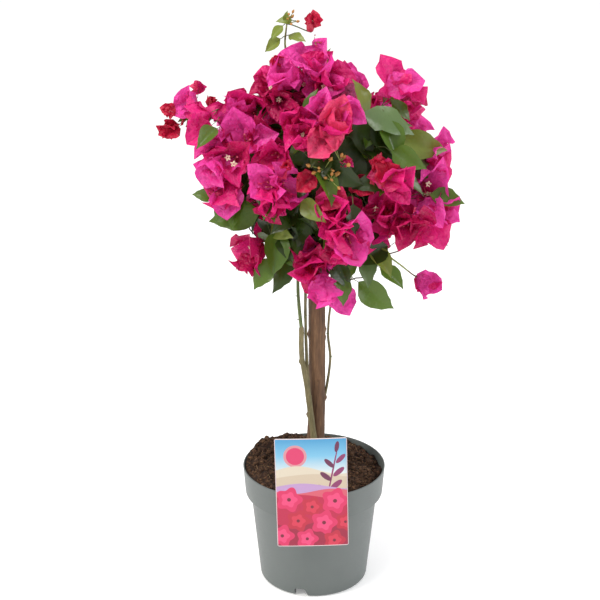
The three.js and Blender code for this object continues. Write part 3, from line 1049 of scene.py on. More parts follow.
def bark_limb(name, line, radius_at, relief, sides):
    """A limb whose skin has upright ridges, faint rings and nubs."""
    points = [Vector(point) for point in line]
    length = sum((b - a).length for a, b in zip(points, points[1:]))
    steps = int(length / LIMB_STEP)
    rings = []
    for step in range(steps + 1):
        share = step / steps
        centre = spline(points, share)
        along = (spline(points, min(1, share + 0.01)) - spline(points, max(0, share - 0.01))).normalized()
        turn = axes(along, Vector((0, -1, 0)))
        ring = []
        for x, z in circle(sides):
            outward = turn @ Vector((x, 0, z))
            radius = radius_at(share, centre.z)
            point = centre + outward * radius
            ridges = noise.fractal(Vector((point.x / 2.4, point.y / 2.4, point.z / 26)), 0.8, 2.1, 4)
            swell = noise.noise(Vector((0, len(name), centre.z / 21)))
            radius += relief * ridges + relief * 0.8 * swell + nub_push(name, point, centre)
            ring.append((centre + outward * radius) * MM)
        rings.append(ring)
    return mesh_object(name + "_bark", *loft(rings))


def trunk_radius(share, height):
    """The trunk's radius, which tapers a little upwards and flares at the foot."""
    low = max(0.0, 1 - (height - TRUNK_LINE[0][2]) / FLARE_HEIGHT)
    return TRUNK_RADIUS - TRUNK_TAPER * share + FLARE * low**1.5


class PLANT_OT_trunk(bpy.types.Operator):
    """Models the trunk and its side stems with the relief of their bark, and their thorns"""

    bl_idname = "plant.trunk"
    bl_label = "Trunk and stems"

    def execute(self, context):
        barks = {name: streaked_bark(name, *look) for name, look in BARKS.items()}
        trunk = bark_limb("trunk", TRUNK_LINE, trunk_radius, TRUNK_RELIEF, TRUNK_SIDES)
        finished(trunk, "bark", "trunk", material=barks["brown_bark"])
        for name, (line, (foot, tip), relief, bark) in STEMS.items():

            def radius_at(share, height):
                return (foot + (tip - foot) * share) * min(1, 0.5 + 14 * (1 - share))

            limb = bark_limb(name, line, radius_at, relief, STEM_SIDES)
            finished(limb, "stem_bark", name, material=barks[bark])
        thorns = []
        for thorn in THORNS:
            start, end = (Vector(point) * MM for point in thorn)
            middle = (start + end) / 2 + Vector((0, 0, 0.3 * MM))
            thorns.append([(start, 0.7 * MM), (middle, 0.45 * MM), (end, 0.08 * MM)])
        spines = skinned_paths("stem_thorns", thorns, 6, barks["green_young_bark"])
        finished(spines, "stem_bark")
        return {"FINISHED"}


# ---------------------------------------------------------------------------------------------
# Bracts, flowers, buds and leaves: each shape has a few dozen faces
# ---------------------------------------------------------------------------------------------

# Half widths as shares of the widest, at shares of the way up.
BRACT_OUTLINE = [
    (0, 0.30), (0.1, 0.72), (0.22, 0.94), (0.38, 1.0), (0.55, 0.97), (0.7, 0.87), (0.82, 0.68), (0.92, 0.38),
    (1, 0.03),
]
LEAF_OUTLINE = [
    (0, 0.05), (0.07, 0.36), (0.18, 0.8), (0.34, 1.0), (0.54, 0.88), (0.76, 0.52), (0.91, 0.18), (1, 0.01)
]
# Each form is cup (sides raised), bow (tip brought forward), flick (tip thrown back), crease (fold along the
# midrib), wave and waves (ruffles of the margin), flute (folds that run along the blade), twist, and fray
# (how uneven its outline is).
BRACT_FORMS = (
    (0.60, 0.26, 0.20, 0.00, 0.34, 2.0, 2.8, 0.10, 0.10),
    (0.45, 0.12, 0.26, 0.06, 0.44, 1.6, 2.6, -0.25, 0.08),
    (0.75, 0.34, 0.14, -0.06, 0.36, 2.2, 3.0, 0.18, 0.11),
    (0.35, 0.04, 0.28, 0.10, 0.52, 1.8, 2.8, 0.05, 0.09),
    (0.65, 0.20, 0.38, 0.02, 0.44, 2.4, 3.2, -0.12, 0.12),
    (0.50, 0.28, -0.02, -0.10, 0.54, 1.4, 3.0, 0.35, 0.07),
    (0.40, 0.08, 0.16, 0.18, 0.46, 2.1, 2.6, -0.40, 0.11),
    (0.15, 0.14, 0.24, 0.60, 0.42, 1.9, 2.6, 0.20, 0.10),
)
LEAF_FORMS = (
    (0.14, -0.14, 0.00, 0.24, 0.08, 1.6, 0.3, 0.05, 0.02),
    (0.08, -0.26, 0.02, 0.40, 0.12, 1.3, 0.3, -0.20, 0.02),
    (0.20, -0.08, 0.06, 0.12, 0.20, 2.0, 0.5, 0.20, 0.03),
    (0.05, -0.20, 0.00, 0.60, 0.06, 1.5, 0.2, 0.35, 0.01),
    (-0.10, -0.32, 0.04, 0.14, 0.14, 1.8, 0.4, -0.10, 0.03),
)
BRACT_COLUMNS, LEAF_COLUMNS, BLADE_ROWS = 8, 6, 8
FIRST_BRACT_SEED, FIRST_LEAF_SEED = 31, 61


def blade(name, length, width, outline, columns, form, seed):
    """A thin blade that grows along +Y from the origin and faces +Z."""
    cup, bow, flick, crease, wave, waves, flute, twist, fray = form
    flute *= MM
    chance = random.Random(seed)
    phase = [chance.uniform(0, math.tau) for _ in range(4)]
    lean = chance.uniform(-0.1, 0.1)
    vertices = []
    for row in range(BLADE_ROWS + 1):
        u = (row / BLADE_ROWS) ** 0.86
        half = width / 2 * through(outline, u)
        swell = math.sin(math.pi * min(1, u * 1.05)) ** 0.7 if 0 < u < 0.95 else 0.0
        cos, sin = math.cos(twist * u), math.sin(twist * u)
        for column in range(columns + 1):
            v = column / columns * 2 - 1
            side = abs(v)
            hand = 0 if v < 0 else 1
            reach = half * (1 + fray * math.sin(17 * u + phase[2 + hand]) * side**3)
            ruffle = math.sin(waves * math.tau * u * (0.85 + 0.3 * hand) + phase[hand])
            z = half * (cup * side**1.7 + crease * side + wave * side**1.8 * ruffle * swell)
            z += flute * math.sin(v * 7.5 + phase[3] + u * 1.3) * swell * (0.4 + 0.6 * side)
            z += flute * 0.5 * math.sin(math.tau * (2.4 * u - 0.9 * side)) * swell * side
            z -= flute * 0.7 * swell if column * 2 == columns else 0
            z += length * (bow * u * u - flick * u**5)
            x = v * reach * (1 - 0.2 * abs(cup) * side) + lean * length * u * u
            y = u * length * (1 - 0.35 * abs(bow) * u)
            place = Vector((x, y, seed * 0.01))
            z += 0.05 * length * noise.noise(place / (0.4 * length))
            z += 0.9 * flute * noise.noise(place / (0.17 * length))
            vertices.append(Vector((x * cos - z * sin, y, z * cos + x * sin)))
    return mesh_object(name, vertices, sheet_faces(columns, BLADE_ROWS))


def star_shape(name, number):
    """The open mouth of a flower: five notched lobes 9 mm across, with a small raised throat."""
    rings = []
    for reach, height in ((0.9, 0.0), (1.9, 0.7), (3.4, 0.9), (4.6, 0.2)):
        ring = []
        for side in range(20):
            angle = math.tau * side / 20
            lobed = reach * (1 + (0.30 * math.cos(5 * angle) if reach > 1.5 else 0))
            lift = 0.35 * math.sin(5 * angle + 0.4 + number) * (reach / 4.6)
            ring.append(Vector((lobed * math.cos(angle), height + lift, lobed * math.sin(angle))) * MM)
        rings.append(ring)
    return mesh_object(name, *loft(rings, cap=False))


def lathed_shape(name, profile, sides, bend=0.0, ribs=0.0):
    """A small closed body along +Y from a profile of (height, radius) in mm, bent aside and ribbed."""
    rings = []
    top = profile[-1][0]
    for height, radius in profile:
        shift = bend * (height / top) ** 2
        ring = []
        for side, (x, z) in enumerate(circle(sides)):
            reach = radius * (1 + ribs * (side % 2))
            ring.append(Vector((reach * x + shift, height, reach * z)) * MM)
        rings.append(ring)
    vertices, faces = loft(rings)
    return mesh_object(name, vertices, [tuple(reversed(face)) for face in faces])


def tube_shape(name, number):
    """A slender flower tube 15 mm long, waisted, with a swollen foot."""
    profile = [(0, 0.5), (1.5, 1.25), (4, 1.35), (7, 0.95), (11, 1.0), (14, 1.35), (15, 1.1)]
    return lathed_shape(name, profile, 7, bend=1.2 + 0.6 * number, ribs=0.12)


def bud_shape(name, number):
    """A closed bud 15 mm long: a ribbed lantern that comes to a point."""
    wide = 4.0 + 0.5 * number
    profile = [(0, 0.6), (1.5, wide * 0.7), (5, wide), (9, wide * 0.8), (12.5, wide * 0.38), (15, 0.2)]
    return lathed_shape(name, profile, 9, bend=0.8 * number, ribs=0.22)


# ---------------------------------------------------------------------------------------------
# Growing the crown
# ---------------------------------------------------------------------------------------------

# Sprays that give the crown its own face. Each mass of foliage lists what grows on it: the kind, its tone,
# its place in the mass (-1 to 1 along X, Y and Z), where it points (degrees from the front towards +X,
# degrees of rise) and its size. A bloom can add its roll (degrees clockwise) and how far it is open.
SPRAYS = {
    "bracts_crown_top": [
        ("bloom", "pink", (-0.22, -0.3, 0.72), (-8, 58), 1.2),
        ("bloom", "rose", (0.55, -0.7, 0.25), (32, 38), 1.05),
        ("bloom", "pink", (0.95, -0.3, -0.25), (48, 14), 1.0),
        ("bloom", "pink", (-0.05, -0.95, -0.2), (0, 12), 1.0),
        ("bloom", "deep", (-0.75, -0.5, -0.4), (-35, 15), 0.95),
        ("bloom", "pale", (0.75, -0.5, -0.6), (35, 0), 0.9),
    ],
    "bracts_top_left": [
        ("bloom", "pink", (0.2, -0.6, 0.5), (-12, 42), 1.1),
        ("closed", "crimson", (0.0, 0.1, 0.85), (-35, 62), 0.6),
        ("bloom", "rose", (-0.60, -0.5, 0.2), (-55, 30), 0.9),
        ("bloom", "deep", (0.1, -0.9, -0.4), (0, -5), 0.9),
    ],
    "bracts_left_shoulder": [
        ("bloom", "pink", (-0.15, -0.6, 0.45), (-35, 45), 1.05),
        ("bloom", "rose", (0.45, -0.75, 0.2), (0, 22), 1.1),
        ("bloom", "pink", (-0.75, -0.5, -0.3), (-60, 5), 0.95),
        ("bract", "rose", (-0.95, -0.5, -0.1), (-88, 35), 0.8),
    ],
    "bracts_left_upper": [
        ("bloom", "pink", (0.30, -0.6, 0.65), (-8, 30), 1.15),
        ("bloom", "pink", (-0.60, -0.4, 0.35), (-60, 12), 1.0),
        ("bloom", "rose", (-0.80, 0.1, 0.15), (-60, 10), 0.85),
        ("bloom", "pink", (-1.1, 0.1, 1.0), (-72, -20), 0.95),
        ("bloom", "deep", (0.85, -0.2, 0.35), (18, 8), 0.95),
        ("bloom", "rose", (0.0, -0.95, -0.1), (-10, 2), 1.0),
        ("bloom", "pink", (-0.55, -0.7, -0.5), (-35, -20), 1.05),
        ("leaf", "green", (-0.65, -0.75, 0.74), (-42, -18), 0.82),
        ("bract", "rose", (-0.95, -0.3, 0.62), (-72, -30), 0.95),
    ],
    "bracts_left_lower": [
        ("bloom", "pink", (-0.25, -0.5, 0.7), (-62, -6), 1.15, 30, 38),
        ("bloom", "rose", (0.2, -0.9, 0.15), (-28, -60), 1.1, 60, 26),
        ("bract", "pink", (0.22, -0.9, 0.02), (-20, -70), 1.1),
        ("leaf", "green", (0.5, -0.5, -0.6), (-80, -8), 1.5),
        ("leaf", "green", (0.12, -0.6, -0.12), (-72, -42), 1.15),
        ("leaf", "dark", (0.68, -0.2, 0.5), (-5, -60), 1.2),
        ("leaf", "dark", (0.75, -0.1, 0.1), (-50, -30), 1.0),
        ("leaf", "green", (0.5, -0.5, -0.3), (-40, -50), 1.1),
        ("leaf", "green", (-0.75, -0.3, 0.1), (-85, 5), 0.6),
    ],
    "leaves_low_left": [
        ("leaf", "green", (0.15, -0.8, 0.15), (-30, -62), 1.25),
        ("leaf", "green", (-0.45, -0.7, -0.45), (-60, -45), 1.1),
        ("leaf", "dark", (0.45, -0.6, -0.5), (-40, -48), 1.0),
        ("leaf", "olive", (0.3, -0.7, 0.7), (30, -10), 0.9),
        ("leaf", "dark", (0.6, -0.8, 0.3), (20, -50), 0.9),
    ],
    "bracts_low_left": [
        ("bloom", "rose", (0.45, -0.5, 0.28), (-45, -28), 1.18, 20, 34),
        ("bloom", "deep", (0.2, -0.1, -0.35), (-60, -55), 0.9),
    ],
    "bracts_centre_left": [
        ("bloom", "pink", (-0.38, -0.75, 0.32), (-38, 14), 0.95),
        ("bloom", "pink", (0.5, -0.75, 0.2), (30, 5), 0.95),
        ("bloom", "rose", (-0.25, -0.85, -0.18), (-16, -25), 1.05),
        ("bloom", "rose", (-0.1, -0.1, 0.95), (-20, 0), 0.9),
        ("closed", "crimson", (0.35, -0.7, 0.85), (10, 30), 0.34),
    ],
    "bracts_centre_upper": [
        ("bloom", "coral", (0.45, -0.9, 0.36), (22, 35), 1.1, 20, 26),
        ("bract", "coral", (-0.05, -0.9, -0.48), (-60, -35), 1.1),
        ("bract", "coral", (0.4, -0.9, -0.05), (30, -45), 0.85),
        ("bloom", "pink", (0.0, -0.5, 0.8), (0, 35), 1.0),
        ("bloom", "pink", (0.85, -0.3, 0.6), (38, 0), 0.95),
        ("bloom", "rose", (-0.6, -0.7, -0.1), (-40, 32), 1.05),
        ("bloom", "deep", (-0.25, -0.8, -0.55), (-20, -25), 0.9),
        ("bloom", "rose", (-0.80, -0.4, 0.4), (-35, 20), 0.95),
    ],
    "leaves_centre": [
        ("leaf", "dark", (-0.1, -0.6, 0.5), (-20, -50), 1.0),
        ("leaf", "green", (0.0, -0.9, -0.2), (25, -42), 1.0),
        ("leaf", "dark", (0.5, -0.7, 0.1), (65, -20), 1.1),
        ("leaf", "dark", (-0.6, -0.6, -0.2), (-50, -30), 0.9),
        # the three large dark leaves deep in the mass close holes into the crown; their dark tone is painted
        # shade
        ("leaf", "dark", (0.95, 0.1, 0.2), (20, -50), 1.2),
        ("leaf", "dark", (0.7, 0.3, 0.7), (-60, -20), 1.2),
        ("leaf", "dark", (0.2, 0.2, 0.0), (80, -30), 1.2),
        ("bract", "crimson", (-0.7, -0.7, -0.25), (-60, -30), 0.75),
        ("bract", "coral", (0.3, -0.6, -0.85), (65, -25), 1.0),
        ("buds", "amber", (-0.1, -0.9, 0.45), (-10, 25), 1.1),
        ("buds", "amber", (0.25, -1.0, 0.15), (20, 40), 1.0),
        ("buds", "amber", (0.6, -0.8, 0.9), (40, 50), 1.0),
        ("closed", "coral", (0.6, -0.6, 0.6), (70, 8), 0.42),
    ],
    "leaves_upper_right": [
        ("leaf", "grey", (0.1, -0.75, 0.5), (72, -8), 1.45),
        ("leaf", "olive", (-0.5, 0.0, 0.95), (-8, 68), 1.1),
        ("leaf", "dark", (-0.6, -0.6, -0.3), (40, -48), 1.2),
        ("leaf", "green", (0.2, -0.8, -0.3), (30, -60), 1.1),
        ("leaf", "dark", (0.1, -0.55, -0.5), (60, -40), 1.3),
        ("leaf", "dark", (-0.1, -0.5, -0.95), (75, -20), 1.2),
    ],
    "bracts_upper_right": [
        ("bract", "rose", (-0.45, -0.7, 0.35), (-90, 78), 1.15),
        ("bract", "pink", (0.36, -0.7, 0.05), (88, 20), 1.12),
        ("bract", "deep", (0.65, -0.3, -0.4), (95, -12), 0.95),
        ("bract", "rose", (0.5, -0.8, -0.35), (65, -38), 0.95),
        ("leaf", "green", (0.2, -0.2, -0.8), (70, -30), 0.8),
    ],
    "leaves_right_upper": [
        ("leaf", "olive", (-0.25, -0.95, 0.5), (80, -14), 1.4),
        ("leaf", "green", (-0.35, -0.8, -0.55), (78, -12), 1.15),
        ("bloom", "pink", (0.5, -0.8, -0.2), (55, 10), 0.95),
        ("bract", "pink", (0.45, -0.3, 0.75), (75, 70), 0.75),
        ("bloom", "rose", (0.1, -0.6, -0.75), (30, -5), 0.9),
    ],
    "leaves_right_middle": [
        ("bloom", "rose", (0.25, -0.8, -0.02), (35, 8), 1.1, 40, 34),
        ("bract", "crimson", (-0.25, -0.85, 0.3), (-70, 60), 0.85),
        ("bract", "deep", (-0.15, -0.8, 0.05), (-85, 10), 0.95),
        ("closed", "crimson", (-0.3, -0.7, 0.55), (-40, 30), 0.5),
        ("leaf", "green", (0.5, -0.6, 0.7), (60, -20), 1.0),
        ("leaf", "dark", (-0.5, -0.7, -0.1), (-60, -10), 1.0),
        ("bract", "crimson", (-0.8, -0.6, -0.45), (70, -30), 0.8),
    ],
    "bracts_right": [
        ("bloom", "pink", (-0.1, -0.85, 0.3), (10, -12), 1.15),
        ("bloom", "pink", (0.26, -0.6, -0.55), (35, -40), 1.15),
        ("bloom", "rose", (0.38, -0.6, -0.12), (55, -10), 1.0),
        ("leaf", "green", (0.5, -0.85, 0.18), (84, -12), 0.95),
        ("bract", "pink", (0.1, -1.0, -0.2), (40, -30), 0.95),
        ("bract", "rose", (0.3, -0.5, -0.95), (50, -50), 1.0),
        ("bract", "pink", (0.55, -0.4, -0.62), (80, -18), 0.95),
    ],
    "bracts_right_low": [
        ("bloom", "rose", (-0.40, -0.75, 0.55), (-8, 8), 1.05),
        ("bloom", "deep", (0.1, -0.9, 0.0), (8, -15), 1.05),
        ("bloom", "deep", (0.6, -0.6, -0.22), (30, -30), 1.0),
        ("bloom", "rose", (-0.75, -0.4, -0.25), (-25, -22), 1.0),
        ("bloom", "rose", (-0.9, -0.6, 0.35), (-20, 5), 0.9),
    ],
    "bracts_centre_low": [
        ("bloom", "rose", (-0.25, -0.7, 0.6), (-8, 22), 1.0),
        ("bloom", "pink", (0.20, -0.9, -0.2), (12, -5), 1.25),
        ("bloom", "rose", (-0.4, -0.8, 0.0), (-35, -10), 0.85),
        ("bloom", "rose", (0.1, -0.75, -0.7), (0, -35), 1.0),
        ("bloom", "rose", (0.0, -0.5, -1.1), (-10, -50), 0.9),
        ("leaf", "olive", (-0.9, -0.6, 0.5), (45, -30), 0.9),
        ("leaf", "dark", (0.3, -0.8, 0.3), (10, -70), 0.8),
    ],
    "bracts_low_centre": [
        ("bloom", "rose", (-0.35, -0.9, 0.32), (-12, -12), 1.1),
        ("bloom", "pink", (0.12, -0.8, -0.45), (2, -66), 1.05, 180, 24),
        ("bloom", "rose", (0.6, -0.6, 0.8), (30, -10), 0.85),
        ("bloom", "deep", (-0.6, -0.3, 0.1), (-60, -25), 0.85),
        ("leaf", "green", (0.82, -0.4, -0.32), (10, -75), 0.9),
        ("leaf", "dark", (0.75, -0.3, 0.1), (50, -60), 0.9),
    ],
    "leaves_low_right": [
        ("leaf", "dark", (0.05, -0.8, 0.4), (-55, -12), 1.1),
        ("leaf", "olive", (0.3, -0.8, 0.1), (45, -40), 1.0),
        ("leaf", "green", (0.68, -0.4, -0.6), (72, -36), 0.95),
        ("leaf", "grey", (-0.15, -0.7, -0.1), (0, -55), 0.9),
        ("leaf", "green", (-0.75, -0.5, -0.25), (-25, -68), 0.95),
        ("bloom", "rose", (-0.2, -0.3, 0.8), (10, -10), 0.9),
    ],
    "leaves_low_tip": [
        ("leaf", "green", (-0.15, -0.6, 0.15), (74, -38), 1.3),
    ],
    "bracts_low_tip": [
        ("bract", "pink", (-0.4, -0.5, -0.1), (35, -60), 0.98),
    ],
    "bloom_low_right": [
        ("bloom", "pink", (-0.1, -0.3, 0.2), (62, -20), 0.9, 0, 22),
    ],
    "spray_left": [
        ("bloom", "pink", (0.18, -0.5, 0.3), (-32, 4), 0.9, 0, 36),
        ("closed", "coral", (0.38, 0.0, 0.75), (-12, 78), 0.48),
        ("closed", "crimson", (0.82, -0.2, 0.28), (50, 55), 0.42),
        ("closed", "crimson", (-0.52, -0.5, 0.04), (-80, 22), 0.43),
        ("closed", "crimson", (-0.5, -0.3, -0.62), (-50, -15), 0.68),
        ("buds", "coral", (-0.05, -0.3, -0.45), (-30, -50), 0.8),
        ("leaf", "green", (0.10, -0.2, -0.15), (-80, -8), 0.6),
        ("leaf", "green", (0.75, -0.2, -0.1), (60, 25), 0.6),
    ],
    "spray_top": [
        ("leaf", "olive", (-0.45, -0.4, 0.1), (-70, -42), 0.5),
        ("leaf", "olive", (-0.65, -0.4, -0.4), (-75, -32), 0.5),
        ("leaf", "olive", (0.55, -0.4, -0.05), (45, 5), 0.55),
        ("leaf", "olive", (0.0, -0.2, 0.6), (-70, 10), 0.45),
        ("leaf", "olive", (0.1, -0.2, 0.68), (10, 60), 0.33),
        ("buds", "amber", (0.5, -0.3, 0.6), (60, 30), 0.9),
    ],
    "buds_top": [
        ("closed", "crimson", (-0.1, -0.2, 0.35), (20, 75), 0.48),
        ("bud", "coral", (-0.5, -0.2, 0.1), (-30, 50), 0.9),
        ("buds", "coral", (0.2, -0.2, -0.5), (40, 30), 0.6),
    ],
    "leaves_far_right": [
        ("leaf", "green", (-0.25, -0.3, -0.45), (75, -22), 0.75),
    ],
}
# Places where the crown stays open to its dark inside or to the sky, and how far, in mm.
GAPS = (
    ("bracts_centre_upper", (-0.2, -0.6, -1.1), 23),
    ("bracts_centre_left", (-1.0, -0.5, 0.0), 25),
    ("bracts_centre_left", (1.0, -0.5, -0.1), 22),
    ("leaves_centre", (0.6, -0.7, 0.3), 30),
    ("leaves_centre", (-0.2, -0.7, -0.6), 26),
    ("bracts_centre_low", (-0.9, -0.6, 0.1), 30),
    ("bracts_low_centre", (0.9, -0.5, -0.3), 34),
    ("bracts_left_lower", (0.6, -0.5, -0.5), 24),
    ("leaves_upper_right", (-0.1, -0.7, -0.6), 28),
)
# Masses that grow only the sprays listed for them, so the sky shows between these.
OPEN_MASSES = {
    "spray_left", "spray_top", "buds_top", "bloom_low_right", "bracts_low_tip", "leaves_low_tip",
    "leaves_far_right", "bracts_low_left", "bracts_upper_right", "leaves_low_left", "leaves_low_right",
}
# Masses whose boughs are the frame's own, which end in them.
BOUGH_MASSES = {"spray_left", "spray_top", "bloom_low_right"}
FOLIAGE = ("bracts", "leaves", "bloom", "spray", "buds")
GOLDEN_ANGLE = 2.39996
LISTED_ROOM, GROWN_ROOM = 22 * MM, 20 * MM
CLOSING_SPRAYS = 150
INNER_LEAVES = 160
TUBE_SHAPES, STAR_SHAPES, BUD_SHAPES = 2, 1, 3
TUBE_SIZE = 0.85


def spiral(count, start=0.0):
    """Directions spread evenly over a ball, from its top down."""
    for number in range(count):
        z = 1 - 2 * (number + 0.5) / count
        angle = start + number * GOLDEN_ANGLE
        ring = math.sqrt(1 - z * z)
        yield Vector((ring * math.cos(angle), ring * math.sin(angle), z))


def middle_and_half(node):
    """The middle of a frame node's box, and half its size."""
    low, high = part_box(node)
    return (low + high) / 2, (high - low) / 2


def at(box, place):
    """The point of a box at a place that counts from -1 to 1 along each of its sides."""
    middle, half = box
    return middle + Vector([half[axis] * place[axis] for axis in range(3)])


def ball_area(half):
    """The area of an egg-shaped ball, near enough."""
    power = 1.6
    faces = (half.x * half.y) ** power + (half.x * half.z) ** power + (half.y * half.z) ** power
    return 4 * math.pi * (faces / 3) ** (1 / power)


class Crown:
    """Grows boughs to the masses of foliage, twigs to their sprays, and collects what each spray carries."""

    def __init__(self, bloom, leaf):
        self.chance = random.Random(bloom.seed)
        self.bloom, self.leaf = bloom, leaf
        self.masses = {name: middle_and_half(name) for name in frame["nodes"] if name.startswith(FOLIAGE)}
        self.core = middle_and_half("foliage_core")
        self.limbs = []  # each is [point, parent, load]
        self.taken = []  # each is where a spray or a gap is, and the room it keeps free
        self.bracts = {tone: [] for tone in BRACT_TONES}
        self.leaves = {tone: [] for tone in LEAF_TONES}
        self.buds = {tone: [] for tone in BUD_TONES}
        self.tubes, self.stars = [], []
        self.boughs, self.twigs, self.stalks, self.threads = [], [], [], []

    def add_limb(self, point, parent):
        """Adds the end of a limb, and gives its index."""
        self.limbs.append([point, parent, 0])
        return len(self.limbs) - 1

    def nearest_limb(self, point, root_pull=0.25):
        """The index of the limb nearest to a point, where root_pull favours limbs near the trunk."""
        root = self.limbs[0][0]
        scores = [
            ((limb[0] - point).length + root_pull * (limb[0] - root).length, index)
            for index, limb in enumerate(self.limbs)
        ]
        return min(scores)[1]

    def branch(self, end, steps):
        """Grows a bent limb from the nearest one to an end, and gives the index of its end."""
        index = self.nearest_limb(end)
        start, parent, _ = self.limbs[index]
        onward = start - self.limbs[parent][0] if parent is not None else UP * 0.02
        onward = onward.normalized() if onward.length > 1e-5 else UP.copy()
        reach = (end - start).length
        bend = start + onward * reach * 0.38 + Vector((0, 0, 0.12 * reach))
        for step in range(1, steps + 1):
            t = step / steps
            point = (1 - t) ** 2 * start + 2 * t * (1 - t) * bend + t * t * end
            wander = Vector([self.chance.gauss(0, 0.014) for _ in range(3)]) * reach * math.sin(math.pi * t)
            index = self.add_limb(point + wander, index)
        return index

    def grow_boughs(self):
        """Joins the middle of each mass to the nearest limb so far, the nearest masses first."""
        for line in (TRUNK_LINE[-2:], STEMS["stem_left_outer"][0][-2:], STEMS["stem_right"][0][-2:]):
            start, end = (Vector(point) for point in line)
            parent = None
            for step in range(5):
                parent = self.add_limb(start.lerp(end, 0.55 + 0.45 * step / 4) * MM, parent)
        for name in ("bough_top", "bough_left", "bough_low_right"):
            foot, *onward = (Vector(point) * MM for point in STEMS[name][0])
            parent = self.branch(foot, 5)
            for point in onward:
                parent = self.add_limb(point, parent)
        fork = self.limbs[4][0]
        for name in sorted(self.masses, key=lambda name: (self.masses[name][0] - fork).length):
            if name not in BOUGH_MASSES:
                self.branch(self.masses[name][0].lerp(self.core[0], 0.18), 6)

    def skin_boughs(self):
        """Thickens every limb by what it carries, and turns the limbs into paths."""
        parents = {parent for _, parent, _ in self.limbs}
        for index in reversed(range(len(self.limbs))):
            limb = self.limbs[index]
            limb[2] += 1 if index not in parents else 0
            if limb[1] is not None:
                self.limbs[limb[1]][2] += limb[2]

        def radius(limb):
            return 0.75 * MM * max(1, limb[2]) ** 0.42

        for limb in self.limbs:
            if limb[1] is not None:
                parent = self.limbs[limb[1]]
                start = min(radius(parent), radius(limb) * 1.35)
                self.boughs.append([(parent[0], start), (limb[0], radius(limb))])

    def twig(self, end, towards, thick=0.62):
        """A twig from the nearest limb that arrives at end heading the given way. Returns its path."""
        start = self.limbs[self.nearest_limb(end, 0.0)][0]
        reach = (end - start).length
        first = start.lerp(end, 0.33) + Vector((0, 0, 0.08 * reach))
        last = end - towards.normalized() * reach * 0.33
        path = []
        for step in range(7):
            t = step / 6
            point = (1 - t) ** 3 * start + 3 * t * (1 - t) ** 2 * first
            point += 3 * t * t * (1 - t) * last + t**3 * end
            path.append((point, (thick * 1.5 - thick * 0.7 * t) * MM))
        self.twigs.append(path)
        return path

    def add_leaf(self, foot, along, face, size, tone):
        """A leaf on its own short stalk."""
        along = along.normalized()
        length = self.leaf.length * size
        base = foot + along * length * 0.2
        dip = Vector((0, 0, -0.06 * length))
        self.stalks.append([(foot, 0.55 * MM), ((foot + base) / 2 + dip * 0.5, 0.45 * MM), (base, 0.4 * MM)])
        kind = self.chance.randrange(len(LEAF_FORMS))
        self.leaves[tone].append((base, axes(along, face), size, kind))

    def add_bloom(self, centre, towards, size, tone, roll=None, opened=None):
        """Three bracts round an axis, with a flower tube on each, and now and then one open as a star."""
        chance = self.chance
        axis = towards.normalized()
        aside = UP - axis * UP.dot(axis) if abs(axis.z) < 0.99 else axis.orthogonal()
        aside = aside.normalized()
        foot = centre - axis * self.bloom.length * 0.42 * size
        roll = chance.uniform(0, math.tau) if roll is None else -math.radians(roll)
        opened = chance.choice((26, 34, 40, 46, 52, 60)) if opened is None else opened
        for number in range(3):
            turn = Matrix.Rotation(roll + number * math.tau / 3 + chance.gauss(0, 0.22), 3, axis)
            out = turn @ aside
            spread = math.radians(opened + chance.gauss(0, 11))
            along = axis * math.cos(spread) + out * math.sin(spread)
            inward = axis * math.sin(spread) - out * math.cos(spread)
            base = foot + axis * 1.5 * MM
            kind = chance.randrange(len(BRACT_FORMS))
            shade = NEXT_TONE[tone] if chance.random() < 0.2 else tone
            self.bracts[shade].append((base, axes(along, inward), size * chance.uniform(0.88, 1.06), kind))
            rise = (axis * 0.8 + along * 0.5).normalized()
            start = base + along * 1.5 * MM + inward * 0.6 * MM
            self.tubes.append((start, axes(rise, inward), size * TUBE_SIZE, chance.randrange(TUBE_SHAPES)))
            if chance.random() < 0.2:
                mouth = start + rise * 15 * MM * size * TUBE_SIZE
                facing = (rise + axis * 0.6).normalized()
                self.stars.append((mouth, axes(facing, out), size * chance.uniform(0.5, 0.7), 0))
        return foot

    def add_bud(self, centre, towards, size, tone):
        """A closed bud. Returns its foot."""
        foot = centre - towards.normalized() * 7 * MM * size
        turn = axes(towards, self.chance_direction())
        self.buds[tone].append((foot, turn, size, self.chance.randrange(BUD_SHAPES)))
        return foot

    def chance_direction(self):
        """A unit direction that is as likely to point any way."""
        return Vector([self.chance.gauss(0, 1) for _ in range(3)]).normalized()

    def leafy(self, path, size, tones, count):
        """Leaves set one after another along the outer half of a twig."""
        chance = self.chance
        for number in range(count):
            share = 0.5 + 0.45 * (number + chance.random() * 0.6) / count
            place = share * (len(path) - 1)
            index = min(int(place), len(path) - 2)
            start, end = path[index][0], path[index + 1][0]
            point = start.lerp(end, place - index)
            onward = (end - start).normalized()
            turn = Matrix.Rotation(number * 2.4 + chance.uniform(-0.5, 0.5), 3, onward)
            out = turn @ onward.orthogonal().normalized()
            along = (onward * 0.55 + out * 0.85 + Vector((0, 0, -0.15))).normalized()
            face = (point - self.core[0]).normalized() + UP * 0.5
            self.add_leaf(point, along, face, size * chance.uniform(0.75, 1.1), chance.choice(tones))

